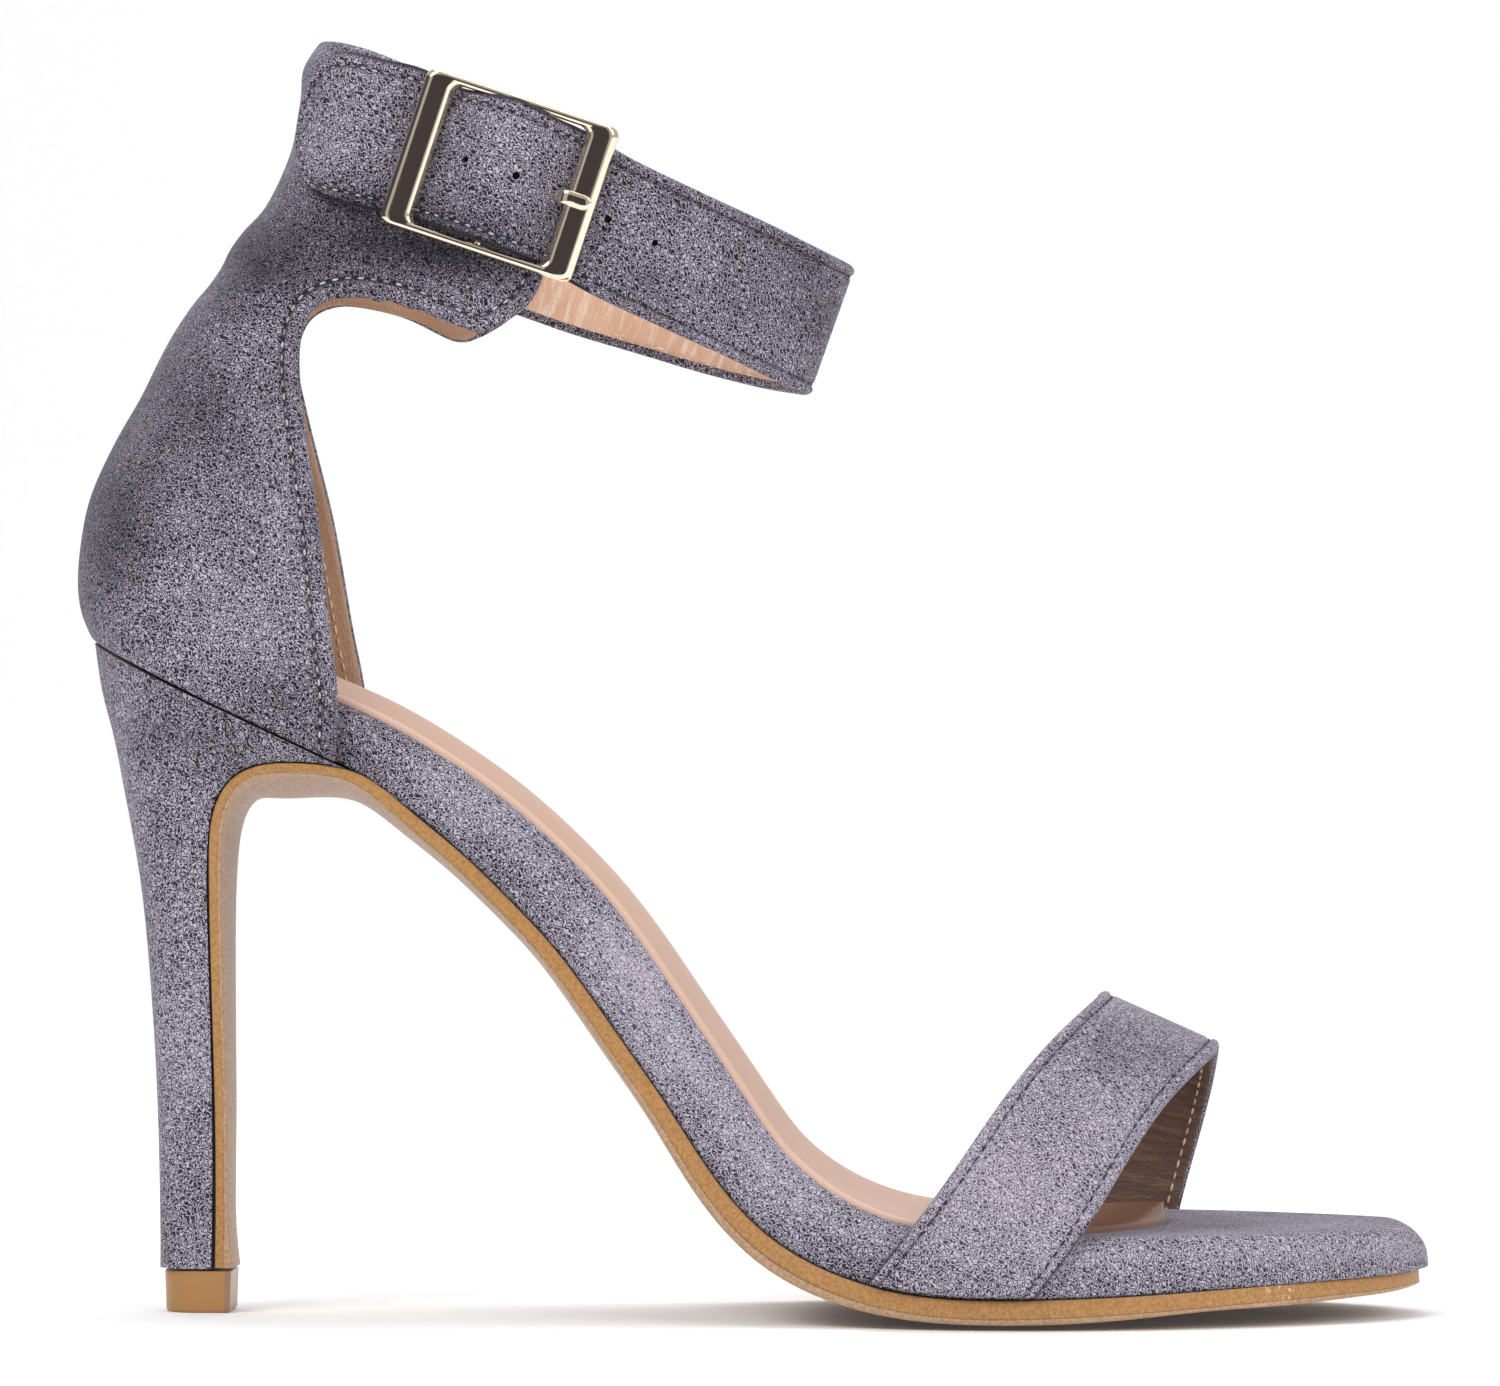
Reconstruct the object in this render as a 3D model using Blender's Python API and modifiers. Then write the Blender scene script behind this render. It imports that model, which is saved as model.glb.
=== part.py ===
"""Ankle strap sandal with a stiletto heel, one right shoe, modelled in millimetres and built in metres.

The toe points along +X, the inner (medial) side of the foot is +Y and +Z is up.
Tables hold one row per section, and every surface is worked out from them by a smooth curve.
"""

import math

import bmesh
import bpy
import numpy as np
from mathutils import Matrix, Vector

MM = 0.001

# Gap left where two pieces meet
SEAT_GAP = 0.3

# Feather line, where bed and outsole meet, from the toe tip back to the heel seat.
# centre and half_width give the outline across the foot, bed and pad are thicknesses,
# edge is the outsole's thickness at its rim and camber what it gains in the middle.
FEATHER_COLUMNS = ("x", "z", "centre", "half_width", "bed", "pad", "edge", "camber")
FEATHER_ROWS = (
    (220.3, 8.0, 4.0, 40.0, 7.1, 1.2, 2.4, 0.2),
    (216.0, 7.7, 3.8, 40.0, 7.2, 1.2, 2.9, 0.3),
    (208.0, 7.4, 3.4, 40.0, 7.4, 1.2, 3.2, 0.5),
    (198.0, 7.0, 3.0, 40.0, 7.8, 1.3, 3.5, 0.7),
    (186.0, 6.4, 2.2, 40.0, 8.5, 2.8, 3.4, 1.0),
    (172.0, 5.6, 1.0, 39.6, 9.3, 2.8, 3.8, 1.3),
    (158.0, 5.1, 0.0, 38.9, 9.8, 1.7, 4.1, 1.4),
    (146.0, 5.1, -0.9, 37.6, 10.2, 0.7, 4.1, 1.4),
    (136.0, 6.0, -1.7, 35.3, 10.4, 0.7, 4.2, 1.4),
    (128.0, 7.9, -2.3, 32.7, 10.7, 0.8, 4.4, 1.5),
    (121.0, 10.7, -2.7, 30.2, 11.0, 1.1, 4.5, 1.6),
    (114.5, 14.7, -3.0, 27.8, 11.2, 1.5, 4.4, 1.6),
    (108.5, 20.4, -3.1, 25.9, 11.0, 1.7, 4.1, 1.6),
    (103.3, 27.3, -3.1, 24.5, 10.9, 1.9, 3.8, 1.6),
    (98.1, 35.2, -3.0, 23.3, 10.8, 1.9, 3.5, 1.7),
    (92.2, 43.5, -2.8, 22.3, 11.0, 1.9, 3.3, 1.8),
    (85.9, 52.3, -2.5, 21.5, 11.2, 2.0, 3.1, 1.9),
    (79.4, 60.7, -2.1, 21.0, 11.3, 2.0, 2.8, 2.0),
    (72.0, 68.5, -1.7, 20.8, 11.2, 2.1, 2.7, 2.1),
    (64.2, 75.9, -1.2, 20.9, 10.7, 2.2, 2.6, 2.3),
    (56.1, 82.6, -0.7, 21.3, 9.8, 2.3, 2.4, 2.7),
    (47.5, 88.5, -0.3, 21.4, 9.0, 2.4, 2.0, 3.5),
    (38.0, 93.1, 0.0, 21.5, 8.6, 2.5, 2.0, 3.0),
    (28.0, 97.8, 0.0, 21.7, 8.4, 2.4, 2.0, 3.0),
    (17.0, 102.9, 0.0, 21.8, 8.2, 2.3, 2.0, 3.0),
    (6.4, 107.8, 0.0, 21.8, 8.0, 2.2, 2.0, 3.0),
)
# The outsole leaves the feather line after this row and turns down the heel breast
LAST_SHANK_ROW = 21
BREAST_COLUMNS = ("x", "z", "centre", "half_width", "edge", "camber")
BREAST_ROWS = (
    (42.0, 89.7, -0.1, 22.2, 1.5, 4.3),
    (36.5, 90.0, 0.0, 21.7, 1.5, 4.7),
    (31.5, 89.5, 0.0, 20.6, 1.8, 4.1),
    (27.6, 87.8, 0.0, 18.9, 2.1, 2.8),
    (24.8, 84.6, 0.0, 16.9, 2.3, 1.6),
    (23.2, 80.2, 0.0, 14.9, 2.3, 1.1),
    (22.6, 74.0, 0.0, 12.9, 2.2, 0.9),
    (22.5, 66.0, 0.0, 11.3, 2.1, 0.8),
    (22.6, 56.0, 0.0, 9.9, 2.1, 0.7),
    (22.8, 44.0, 0.0, 8.6, 2.1, 0.6),
    (23.0, 32.0, 0.0, 7.5, 2.1, 0.5),
    (23.0, 20.0, 0.0, 6.6, 2.1, 0.4),
    (22.9, 12.0, 0.0, 6.1, 2.5, 0.3),
    (22.8, 7.4, 0.0, 5.9, 3.1, 0.2),
)
# Lengths over which the outline rounds off at the toe and at the heel seat
TOE_ROUND = 66.0
HEEL_ROUND = 20.0
# Stations where an end is rounded, and how far the first one stands in from the tip
ROUND_STATIONS = 9
TIP_STEP = 0.01
# Distance either side of a station over which its direction is measured
SLOPE_STEP = 0.05
# The bed's top rolls down to this height over this length at the toe
NOSE_LENGTH = 7.0
NOSE_HEIGHT = 1.6
# Edge of the bed, from its underside up: distance in from the outline, share of the height
BED_EDGE = ((0.5, 0.0), (0.0, 0.15), (0.0, 0.55), (0.35, 0.8), (1.3, 0.95), (3.0, 1.0))
# Half width under which the bed's rounded edge shrinks with the outline
BED_EDGE_FULL_AT = 9.0
BED_STATION = 7.0
BED_COLUMNS_ACROSS = 3
OUTSOLE_TOE_SETBACK = 1.6
OUTSOLE_LEDGE = 0.8
OUTSOLE_STATION = 5.0
OUTSOLE_COLUMNS_ACROSS = 9
SOCK_INSET = 3.0
SOCK_FRONT_X = 178.0
SOCK_ROUND = 30.0
SOCK_EDGE = 0.6
SOCK_STATION = 8.0
SOCK_COLUMNS_ACROSS = 7

# Heel block sections: back point, front point, half width at the widest and at the breast
HEEL_COLUMNS = ("back_x", "back_z", "front_x", "front_z", "half_width", "front_half")
HEEL_ROWS = (
    (2.9, 109.2, 45.6, 89.0, 24.8, 22.6),
    (3.4, 105.4, 41.4, 89.8, 24.0, 22.2),
    (4.2, 100.6, 36.5, 90.0, 22.6, 21.4),
    (5.5, 95.6, 31.4, 89.5, 20.6, 20.0),
    (6.7, 90.0, 27.5, 87.8, 18.4, 18.2),
    (7.9, 83.6, 24.7, 84.6, 16.0, 16.0),
    (9.1, 77.2, 23.1, 80.2, 13.9, 14.0),
    (10.2, 70.4, 22.4, 73.0, 12.1, 12.2),
    (11.2, 61.5, 22.3, 63.0, 10.4, 10.4),
    (12.1, 50.0, 22.5, 50.5, 8.9, 8.8),
    (12.8, 38.0, 22.7, 38.0, 7.8, 7.6),
    (13.2, 26.0, 22.8, 26.0, 6.9, 6.7),
    (13.4, 14.0, 22.7, 14.0, 6.3, 6.1),
    (13.4, 7.2, 22.6, 7.2, 6.1, 5.9),
)
HEEL_STEPS = 24
HEEL_BACK_STEPS = 11
HEEL_SIDE_STEPS = 5
# Depth of the heel's round back, as a share of its half width and at most of its whole depth
HEEL_BACK_SHARE = 0.95
HEEL_BACK_MOST = 0.8
TIP_HEIGHT = 6.8
TIP_BACK_X = 14.4
TIP_LENGTH = 11.0
TIP_HALF_WIDTH = 5.7
TIP_BEVEL = 0.5
TIP_FLARE = 0.2
TIP_BACK_SHARE = 0.5

# Counter sections from the heel seat up: back point, front edge point, how much further back
# the inner side's edge is, how deep the round back is, its half width, how much the side
# swells in front of it and the bow of the row
COUNTER_COLUMNS = (
    "back_x",
    "back_z",
    "edge_x",
    "edge_z",
    "inner_back",
    "depth",
    "half_width",
    "swell",
    "bow",
)
COUNTER_ROWS = (
    (2.8, 109.9, 44.3, 90.5, 0.0, 23.0, 24.8, -0.4, 0.0),
    (0.9, 113.5, 44.8, 97.0, 0.0, 23.0, 25.4, -0.4, 0.0),
    (0.1, 118.5, 44.7, 103.0, 0.3, 23.0, 25.9, -0.5, 0.0),
    (0.5, 124.5, 43.8, 110.5, 0.9, 22.5, 26.1, -0.5, 0.0),
    (1.8, 131.0, 42.8, 120.5, 1.6, 22.0, 26.0, -0.5, 0.0),
    (3.9, 137.0, 41.6, 131.0, 2.4, 21.5, 25.7, -0.3, 0.0),
    (7.3, 144.0, 40.1, 141.0, 3.4, 20.5, 25.2, 0.0, 0.0),
    (11.4, 151.5, 39.0, 149.0, 4.2, 19.5, 24.6, 0.3, 0.0),
    (15.1, 158.4, 38.6, 154.8, 4.8, 18.2, 24.0, 0.6, 0.0),
    (18.2, 163.2, 39.1, 159.6, 4.8, 15.2, 23.5, 0.9, 0.0),
    (20.6, 166.5, 41.0, 163.0, 4.8, 14.2, 23.2, 1.2, 0.0),
    (22.2, 168.6, 44.3, 164.7, 4.8, 15.2, 23.1, 1.4, 0.0),
    (23.6, 170.2, 48.5, 165.0, 5.0, 16.6, 23.0, 1.5, 0.0),
    (24.8, 171.8, 54.8, 163.8, 5.4, 17.0, 23.0, 1.6, 0.0),
    (25.9, 173.8, 61.3, 161.0, 5.8, 17.0, 23.0, 1.6, 0.0),
    (27.2, 176.2, 67.0, 158.9, 6.2, 17.0, 23.0, 1.6, 0.1),
    (28.9, 178.5, 71.5, 160.4, 6.2, 17.0, 23.0, 1.6, 0.2),
    (30.8, 181.0, 75.2, 163.0, 6.0, 17.0, 23.0, 1.6, 0.3),
    (32.7, 183.8, 77.6, 166.8, 5.6, 17.0, 23.0, 1.6, 0.4),
    (34.2, 187.0, 78.8, 171.6, 5.0, 17.0, 23.0, 1.6, 0.6),
    (35.4, 190.6, 79.0, 176.6, 4.5, 17.0, 23.0, 1.6, 0.8),
    (36.1, 194.6, 78.4, 181.4, 4.0, 17.0, 23.0, 1.6, 1.0),
    (36.7, 199.0, 76.4, 185.8, 4.0, 17.0, 23.0, 1.6, 1.2),
    (37.2, 203.0, 73.0, 190.0, 4.0, 17.0, 23.0, 1.6, 1.4),
    (40.2, 207.5, 67.6, 195.8, 4.0, 17.0, 23.0, 1.6, 1.6),
)
SWELL_REACH = 22.0
COUNTER_WALL = 2.2
COUNTER_RISE_STEPS = 27
COUNTER_ROUND_STEPS = 14
# Samples along a row's round back and along its side, before it is spaced evenly
BACK_SAMPLES = 60
SIDE_SAMPLES = 40
# Levels searched for a point of the counter's outside, and the least distance from its back line
LOWEST_WALL_LEVEL = 0.3
WALL_SAMPLES = 141
LEAST_REACH = 0.02
# Distance either side of a point over which the wall's slope is measured
WALL_STEP = 0.1

# Ankle strap, outer side, laid on the counter: side view position, lean of its width
# from upright in degrees, lift of its middle off the counter's outside, and how much wider
# its upper half is than its lower half
STRAP_ON_COLUMNS = ("x", "z", "lean", "lift", "upper_gain")
STRAP_ON_ROWS = (
    (39.2, 191.6, 6.0, 1.5, 0.15),
    (40.4, 191.6, 6.5, 1.5, 0.15),
    (42.6, 191.4, 7.5, 1.5, 0.15),
    (46.0, 190.9, 9.0, 1.5, 0.15),
    (51.0, 189.9, 11.5, 1.5, 0.15),
    (56.0, 188.8, 14.0, 1.5, 0.14),
    (60.5, 187.5, 16.0, 2.0, 0.02),
    (65.0, 186.1, 17.4, 4.1, 0.02),
    (68.5, 185.0, 18.0, 5.5, 0.02),
    (71.3, 184.0, 18.4, 5.9, 0.02),
    (74.1, 183.0, 18.8, 5.5, 0.02),
    (77.6, 181.7, 19.2, 4.0, 0.02),
    (81.6, 180.0, 20.0, 1.9, 0.02),
    (85.8, 177.7, 21.2, 1.5, 0.0),
)
# The free loop round the ankle, then the inner side up to where it meets the inner tab
STRAP_FREE_COLUMNS = ("x", "y", "z", "lean")
STRAP_FREE_ROWS = (
    (91.0, -24.6, 174.9, 22.4),
    (97.6, -22.4, 171.8, 23.0),
    (104.4, -19.0, 168.7, 22.6),
    (110.8, -14.8, 165.8, 21.8),
    (116.6, -9.9, 163.0, 21.0),
    (120.8, -4.8, 161.0, 20.0),
    (122.4, 0.0, 160.2, 19.5),
    (121.0, 4.8, 160.4, 19.5),
    (117.0, 9.8, 161.1, 20.0),
    (111.2, 14.6, 162.5, 20.0),
    (104.2, 18.8, 164.4, 20.0),
    (96.4, 22.2, 166.8, 20.0),
    (88.4, 24.4, 169.2, 20.0),
)
STRAP_SEWN_COLUMNS = ("x", "z", "lean", "lift", "upper_gain")
STRAP_SEWN_ROWS = (
    (82.0, 171.2, 20.0, 0.9, 0.0),
    (76.0, 173.3, 20.0, 0.3, 0.0),
    (70.0, 175.4, 20.0, 0.3, 0.0),
    (64.0, 177.5, 20.0, 0.3, 0.0),
    (58.0, 179.5, 20.0, 0.3, 0.0),
)
STRAP_WIDTH = 22.4
STRAP_WALL = 2.0
STRAP_END_ROUND = 10.5
STRAP_END_FULLNESS = 0.97
STRAP_LINE_SHARES = (-1.0, -0.88, -0.5, 0.0, 0.5, 0.88, 1.0)
STRAP_STEPS = 72

# Toe strap edges: where each edge is at the outer base, at the top and at the inner base,
# how far its top leans to the inner side, and how far its outer and inner shoulders bow back
TOE_STRAP_COLUMNS = ("outer_x", "top_x", "inner_x", "top_z", "skew", "outer_bow", "inner_bow")
TOE_STRAP_ROWS = (
    (130.6, 166.6, 154.6, 51.6, 4.0, 2.5, 1.7),
    (157.4, 186.2, 177.6, 42.8, 6.0, 2.6, -0.6),
)
TOE_STRAP_WALL = 2.0
TOE_STRAP_POWER = 2.5
# The bow is widest at three quarters of the height, where this makes it the table's value
SHOULDER_GAIN = 256 / 27
TOE_STRAP_ACROSS = 5
TOE_STRAP_STEPS = 44

# Buckle: centre in the side view, slope of the strap there, sizes of frame, bars and prong
BUCKLE_X = 71.3
BUCKLE_Z = 184.0
BUCKLE_SLOPE = 18.4
FRAME_LENGTH = 32.5
FRAME_HEIGHT = 26.0
END_BAR = 5.0
SIDE_BAR = 1.4
FRAME_UNDER = 2.9
FRAME_THICK = 2.2
FRAME_CORNER = 1.6
FRAME_CORNER_STEPS = 6
# Section of the frame's bars: share from the outside to the inside edge, share of the height
FRAME_SECTION = (
    (0.0, 0.0),
    (0.0, 0.55),
    (0.12, 0.88),
    (0.5, 1.0),
    (0.88, 0.88),
    (1.0, 0.55),
    (1.0, 0.0),
)
CENTRE_BAR_RADIUS = 0.6
CENTRE_BAR_LIFT = 3.2
CENTRE_BAR_SIDES = 12
PRONG_HALF_WIDTH = 1.2
PRONG_HALF_THICK = 0.4
PRONG_STEPS = 34
# Section of the prong: share of its half width, share of its half thickness
PRONG_SECTION = (
    (1.0, 0.5),
    (0.7, 1.0),
    (-0.7, 1.0),
    (-1.0, 0.5),
    (-1.0, -0.5),
    (-0.7, -1.0),
    (0.7, -1.0),
    (1.0, -0.5),
)
# The hook turns round the centre bar between these angles
HOOK_RADIUS = 1.2
HOOK_FROM = 20.0
HOOK_TO = 270.0
HOOK_STEPS = 12
# Prong past the hook: distance along the strap from the centre bar, distance out from the counter
PRONG_PATH = (
    (3.0, 1.9),
    (6.0, 1.6),
    (7.6, 1.8),
    (8.8, 2.9),
    (10.0, 4.5),
    (11.2, 5.9),
    (12.6, 6.0),
    (15.6, 6.0),
)
PRONG_HOLE_AT = (8.9, 2.9)
PRONG_HOLE_SLOPE = 58.0
PRONG_HOLE_RADIUS = 1.75
PRONG_HOLE_LENGTH = 6.0
PRONG_HOLE_SIDES = 16

# Colours, as linear red, green and blue
SUEDE_COLOUR = (0.17, 0.155, 0.2)
SOCK_COLOUR = (0.69, 0.45, 0.36)
TAN_COLOUR = (0.6, 0.3, 0.09)
GOLD_COLOUR = (0.8, 0.66, 0.42)
SUEDE_ROUGHNESS = 0.9
SHEET_ROUGHNESS = 0.5
GOLD_ROUGHNESS = 0.2


def columns(names, rows):
    """A table as one array per named column."""
    return dict(zip(names, np.array(rows, float).T))


def spline(knots, values, at):
    """Smooth curve (natural cubic) through the values at the knots."""
    knots = np.asarray(knots, float)
    values = np.asarray(values, float)
    gaps = np.diff(knots)
    count = len(knots)
    system = np.eye(count)
    pull = np.zeros(values.shape)
    for i in range(1, count - 1):
        system[i, i - 1 : i + 2] = gaps[i - 1], 2 * (gaps[i - 1] + gaps[i]), gaps[i]
        pull[i] = 6 * ((values[i + 1] - values[i]) / gaps[i] - (values[i] - values[i - 1]) / gaps[i - 1])
    bend = np.linalg.solve(system, pull)
    at = np.asarray(at, float)
    cell = np.clip(np.searchsorted(knots, at) - 1, 0, count - 2)
    gap = gaps[cell]
    high = (at - knots[cell]) / gap
    low = 1 - high
    if values.ndim > 1:
        gap = gap[:, None]
        high = high[:, None]
        low = low[:, None]
    curve = low * values[cell] + high * values[cell + 1]
    return curve + ((low**3 - low) * bend[cell] + (high**3 - high) * bend[cell + 1]) * gap**2 / 6


def run_along(*lines):
    """Distance along a path given by its coordinates."""
    steps = np.sqrt(sum(np.diff(line) ** 2 for line in lines))
    return np.concatenate([[0.0], np.cumsum(steps)])


def round_end(distance, length):
    """Share of full width at a distance from a rounded end."""
    return np.sqrt(1 - (1 - np.clip(distance / length, 0, 1)) ** 2)


def end_stations(length):
    """Distances in from an end that is rounded over a length, or one distance if it is cut square."""
    turn = np.linspace(0, np.pi / 2, ROUND_STATIONS if length else 1)
    return TIP_STEP + length * (1 - np.cos(turn))


def stations(total, first_round, last_round, step):
    """Distances along a sheet, closer together where its ends are rounded."""
    first = end_stations(first_round)
    last = total - end_stations(last_round)[::-1]
    middle = np.linspace(first[-1], last[0], max(2, int((last[0] - first[-1]) / step)))
    return np.concatenate([first, middle[1:-1], last])


FEATHER = columns(FEATHER_COLUMNS, FEATHER_ROWS)
FEATHER_RUN = run_along(FEATHER["x"], FEATHER["z"])
COUNTER = columns(COUNTER_COLUMNS, COUNTER_ROWS)
COUNTER_LEVELS = np.linspace(0, 1, len(COUNTER_ROWS))


def sheet_at(run, table, table_run, names):
    """Position, upward normal and the named columns of a bottom sheet at distances along it."""
    line = np.column_stack([table["x"], table["z"]])
    point = spline(table_run, line, run)
    ahead = spline(table_run, line, run + SLOPE_STEP) - spline(table_run, line, run - SLOPE_STEP)
    ahead /= np.linalg.norm(ahead, axis=1)[:, None]
    normal = np.column_stack([ahead[:, 1], -ahead[:, 0]])
    return point, normal, [spline(table_run, table[name], run) for name in names]


def feather_z(x):
    return np.interp(x, FEATHER["x"][::-1], FEATHER["z"][::-1])


def bed_half_width(run):
    """Half width of the bed at a distance back from the toe tip, with round toe and heel."""
    total = FEATHER_RUN[-1]
    width = spline(FEATHER_RUN, FEATHER["half_width"], run)
    return width * round_end(run, TOE_ROUND) * round_end(total - run, HEEL_ROUND)


def place(point, normal, across, height):
    """3D point of a sheet from its profile point, its normal, and offsets across and up."""
    return (point[0] + normal[0] * height, across, point[1] + normal[1] * height)


def new_object(name, collection, points, faces, material):
    mesh = bpy.data.meshes.new(name)
    mesh.from_pydata([tuple(float(c) * MM for c in p) for p in points], [], faces)
    mesh.update()
    item = bpy.data.objects.new(name, mesh)
    collection.objects.link(item)
    if material:
        mesh.materials.append(material)
    return item


def face_outward(item):
    """Turn the faces of a closed mesh outward."""
    work = bmesh.new()
    work.from_mesh(item.data)
    bmesh.ops.recalc_face_normals(work, faces=work.faces)
    work.to_mesh(item.data)
    work.free()


def loft(name, collection, rings, material, closed=False):
    """Closed solid through a row of rings with equal point counts, capped unless it runs back on itself."""
    count = len(rings[0])
    total = len(rings)
    points = [p for ring in rings for p in ring]
    faces = []
    for i in range(total if closed else total - 1):
        n = (i + 1) % total
        for j in range(count):
            k = (j + 1) % count
            faces.append((i * count + j, i * count + k, n * count + k, n * count + j))
    if not closed:
        faces.append(tuple(range(count)))
        faces.append(tuple(range((total - 1) * count, total * count)))
    item = new_object(name, collection, points, faces, material)
    face_outward(item)
    return item


def skin(name, collection, rows, material):
    """Open surface through a grid of points, all rows of equal length."""
    wide = len(rows[0])
    points = [p for row in rows for p in row]
    faces = []
    for i in range(len(rows) - 1):
        for j in range(wide - 1):
            faces.append((i * wide + j, i * wide + j + 1, (i + 1) * wide + j + 1, (i + 1) * wide + j))
    return new_object(name, collection, points, faces, material)


def thicken(item, wall, offset):
    solid = item.modifiers.new("wall", "SOLIDIFY")
    solid.thickness = wall * MM
    solid.offset = offset
    solid.use_even_offset = False
    solid.use_quality_normals = True
    return solid


def cut(item, cutter, operation):
    step = item.modifiers.new(operation.lower() + " " + cutter.name, "BOOLEAN")
    step.operation = operation
    step.object = cutter
    step.solver = "EXACT"
    return step


def helper(item):
    item.hide_render = True
    item.display_type = "WIRE"
    return item


def make_material(name, colour, roughness, metallic=0.0):
    material = bpy.data.materials.new(name)
    material.use_nodes = True
    shader = material.node_tree.nodes["Principled BSDF"]
    shader.inputs["Base Color"].default_value = (*colour, 1.0)
    shader.inputs["Roughness"].default_value = roughness
    shader.inputs["Metallic"].default_value = metallic
    return material


def build_bed(collection, material):
    run = stations(FEATHER_RUN[-1], NOSE_LENGTH, HEEL_ROUND, BED_STATION)
    point, normal, (centre, thick) = sheet_at(run, FEATHER, FEATHER_RUN, ("centre", "bed"))
    half = bed_half_width(run)
    low = SEAT_GAP / 2
    rise = NOSE_HEIGHT + (thick - NOSE_HEIGHT) * round_end(run, NOSE_LENGTH) - low
    flat = np.linspace(-1, 1, BED_COLUMNS_ACROSS + 2)[1:-1]
    rings = []
    for i in range(len(run)):
        squeeze = min(1.0, half[i] / BED_EDGE_FULL_AT)
        side = [(half[i] - inset * squeeze, share) for inset, share in BED_EDGE]
        ring = [(side[0][0] * f, 0.0) for f in flat]
        ring += side
        ring += [(side[-1][0] * f, 1.0) for f in flat[::-1]]
        ring += [(-y, share) for y, share in side[::-1]]
        rings.append([place(point[i], normal[i], centre[i] + y, low + share * rise[i]) for y, share in ring])
    return loft("insole_bed", collection, rings, material)


def build_sock(collection, material):
    start = np.interp(-SOCK_FRONT_X, -FEATHER["x"], FEATHER_RUN)
    total = FEATHER_RUN[-1] - SOCK_INSET - start
    run = stations(total, SOCK_ROUND, HEEL_ROUND, SOCK_STATION)
    along = run + start
    point, normal, (centre, thick, pad) = sheet_at(along, FEATHER, FEATHER_RUN, ("centre", "bed", "pad"))
    half = spline(FEATHER_RUN, FEATHER["half_width"], along) * round_end(along, TOE_ROUND) - SOCK_INSET
    half = half * round_end(run, SOCK_ROUND) * round_end(total - run, HEEL_ROUND)
    flat = np.linspace(-1, 1, SOCK_COLUMNS_ACROSS)
    rings = []
    for i in range(len(run)):
        under = thick[i] + SEAT_GAP
        ring = [(f, under) for f in flat]
        ring += [(f, under + SOCK_EDGE + (pad[i] - SOCK_EDGE) * (1 - f * f)) for f in flat[::-1]]
        rings.append([place(point[i], normal[i], centre[i] + half[i] * f, h) for f, h in ring])
    return loft("sock", collection, rings, material)


def build_outsole(collection, material):
    names = ("x", "z", "centre", "half_width", "edge", "camber")
    breast = columns(BREAST_COLUMNS, BREAST_ROWS)
    table = {}
    for name in names:
        ledge = OUTSOLE_LEDGE if name == "half_width" else 0.0
        table[name] = np.concatenate([FEATHER[name][: LAST_SHANK_ROW + 1] + ledge, breast[name]])
    table_run = run_along(table["x"], table["z"])
    total = table_run[-1] - OUTSOLE_TOE_SETBACK
    run = OUTSOLE_TOE_SETBACK + stations(total, NOSE_LENGTH, 0.0, OUTSOLE_STATION)
    point, normal, (centre, half, edge, camber) = sheet_at(run, table, table_run, names[2:])
    half = half * round_end(run - OUTSOLE_TOE_SETBACK, TOE_ROUND)
    flat = np.linspace(-1, 1, OUTSOLE_COLUMNS_ACROSS)
    rings = []
    for i in range(len(run)):
        ring = [(f, -SEAT_GAP / 2) for f in flat]
        ring += [(f, -edge[i] - camber[i] * (1 - f * f)) for f in flat[::-1]]
        placed = [place(point[i], normal[i], centre[i] + half[i] * f, h) for f, h in ring]
        rings.append([(x, y, max(z, 0.0)) for x, y, z in placed])
    return loft("outsole", collection, rings, material)


def heel_ring(back, front, half, front_half, round_depth):
    """Rounded-back section between a back and a front point, in the plane that holds both."""
    turn = np.linspace(0, np.pi / 2, HEEL_BACK_STEPS)
    deep = round_depth * (1 - np.cos(turn))
    wide = half * np.sin(turn)
    more = np.linspace(0, 1, HEEL_SIDE_STEPS)[1:]
    deep = np.concatenate([deep, round_depth + (1 - round_depth) * more])
    wide = np.concatenate([wide, half + (front_half - half) * more**2])
    ring = list(zip(deep, wide))
    ring += list(zip(deep[:0:-1], -wide[:0:-1]))
    long_x = front[0] - back[0]
    long_z = front[1] - back[1]
    return [(back[0] + long_x * d, w, back[1] + long_z * d) for d, w in ring]


def build_heel(collection, material):
    table = columns(HEEL_COLUMNS, HEEL_ROWS)
    rows = np.linspace(0, 1, len(HEEL_ROWS))
    fine = np.linspace(0, 1, HEEL_STEPS)
    section = {name: spline(rows, table[name], fine) for name in HEEL_COLUMNS}
    rings = []
    for i in range(len(fine)):
        back = (section["back_x"][i], section["back_z"][i])
        front = (section["front_x"][i], section["front_z"][i])
        half = section["half_width"][i]
        round_depth = min(HEEL_BACK_MOST, half * HEEL_BACK_SHARE / math.dist(back, front))
        rings.append(heel_ring(back, front, half, section["front_half"][i], round_depth))
    return loft("heel", collection, rings, material)


def build_tip(collection, material):
    rings = []
    for z, inset in ((0.0, TIP_BEVEL), (TIP_BEVEL, 0.0), (TIP_HEIGHT, -TIP_FLARE)):
        back = (TIP_BACK_X + inset, z)
        front = (TIP_BACK_X + TIP_LENGTH - inset, z)
        half = TIP_HALF_WIDTH - inset
        rings.append(heel_ring(back, front, half, half, TIP_BACK_SHARE))
    return loft("heel_tip", collection, rings, material)


def counter_row(level):
    """Columns of the counter's table at a level between heel seat (0) and top (1)."""
    at = np.array([level])
    return {name: float(spline(COUNTER_LEVELS, COUNTER[name], at)[0]) for name in COUNTER_COLUMNS}


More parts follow.
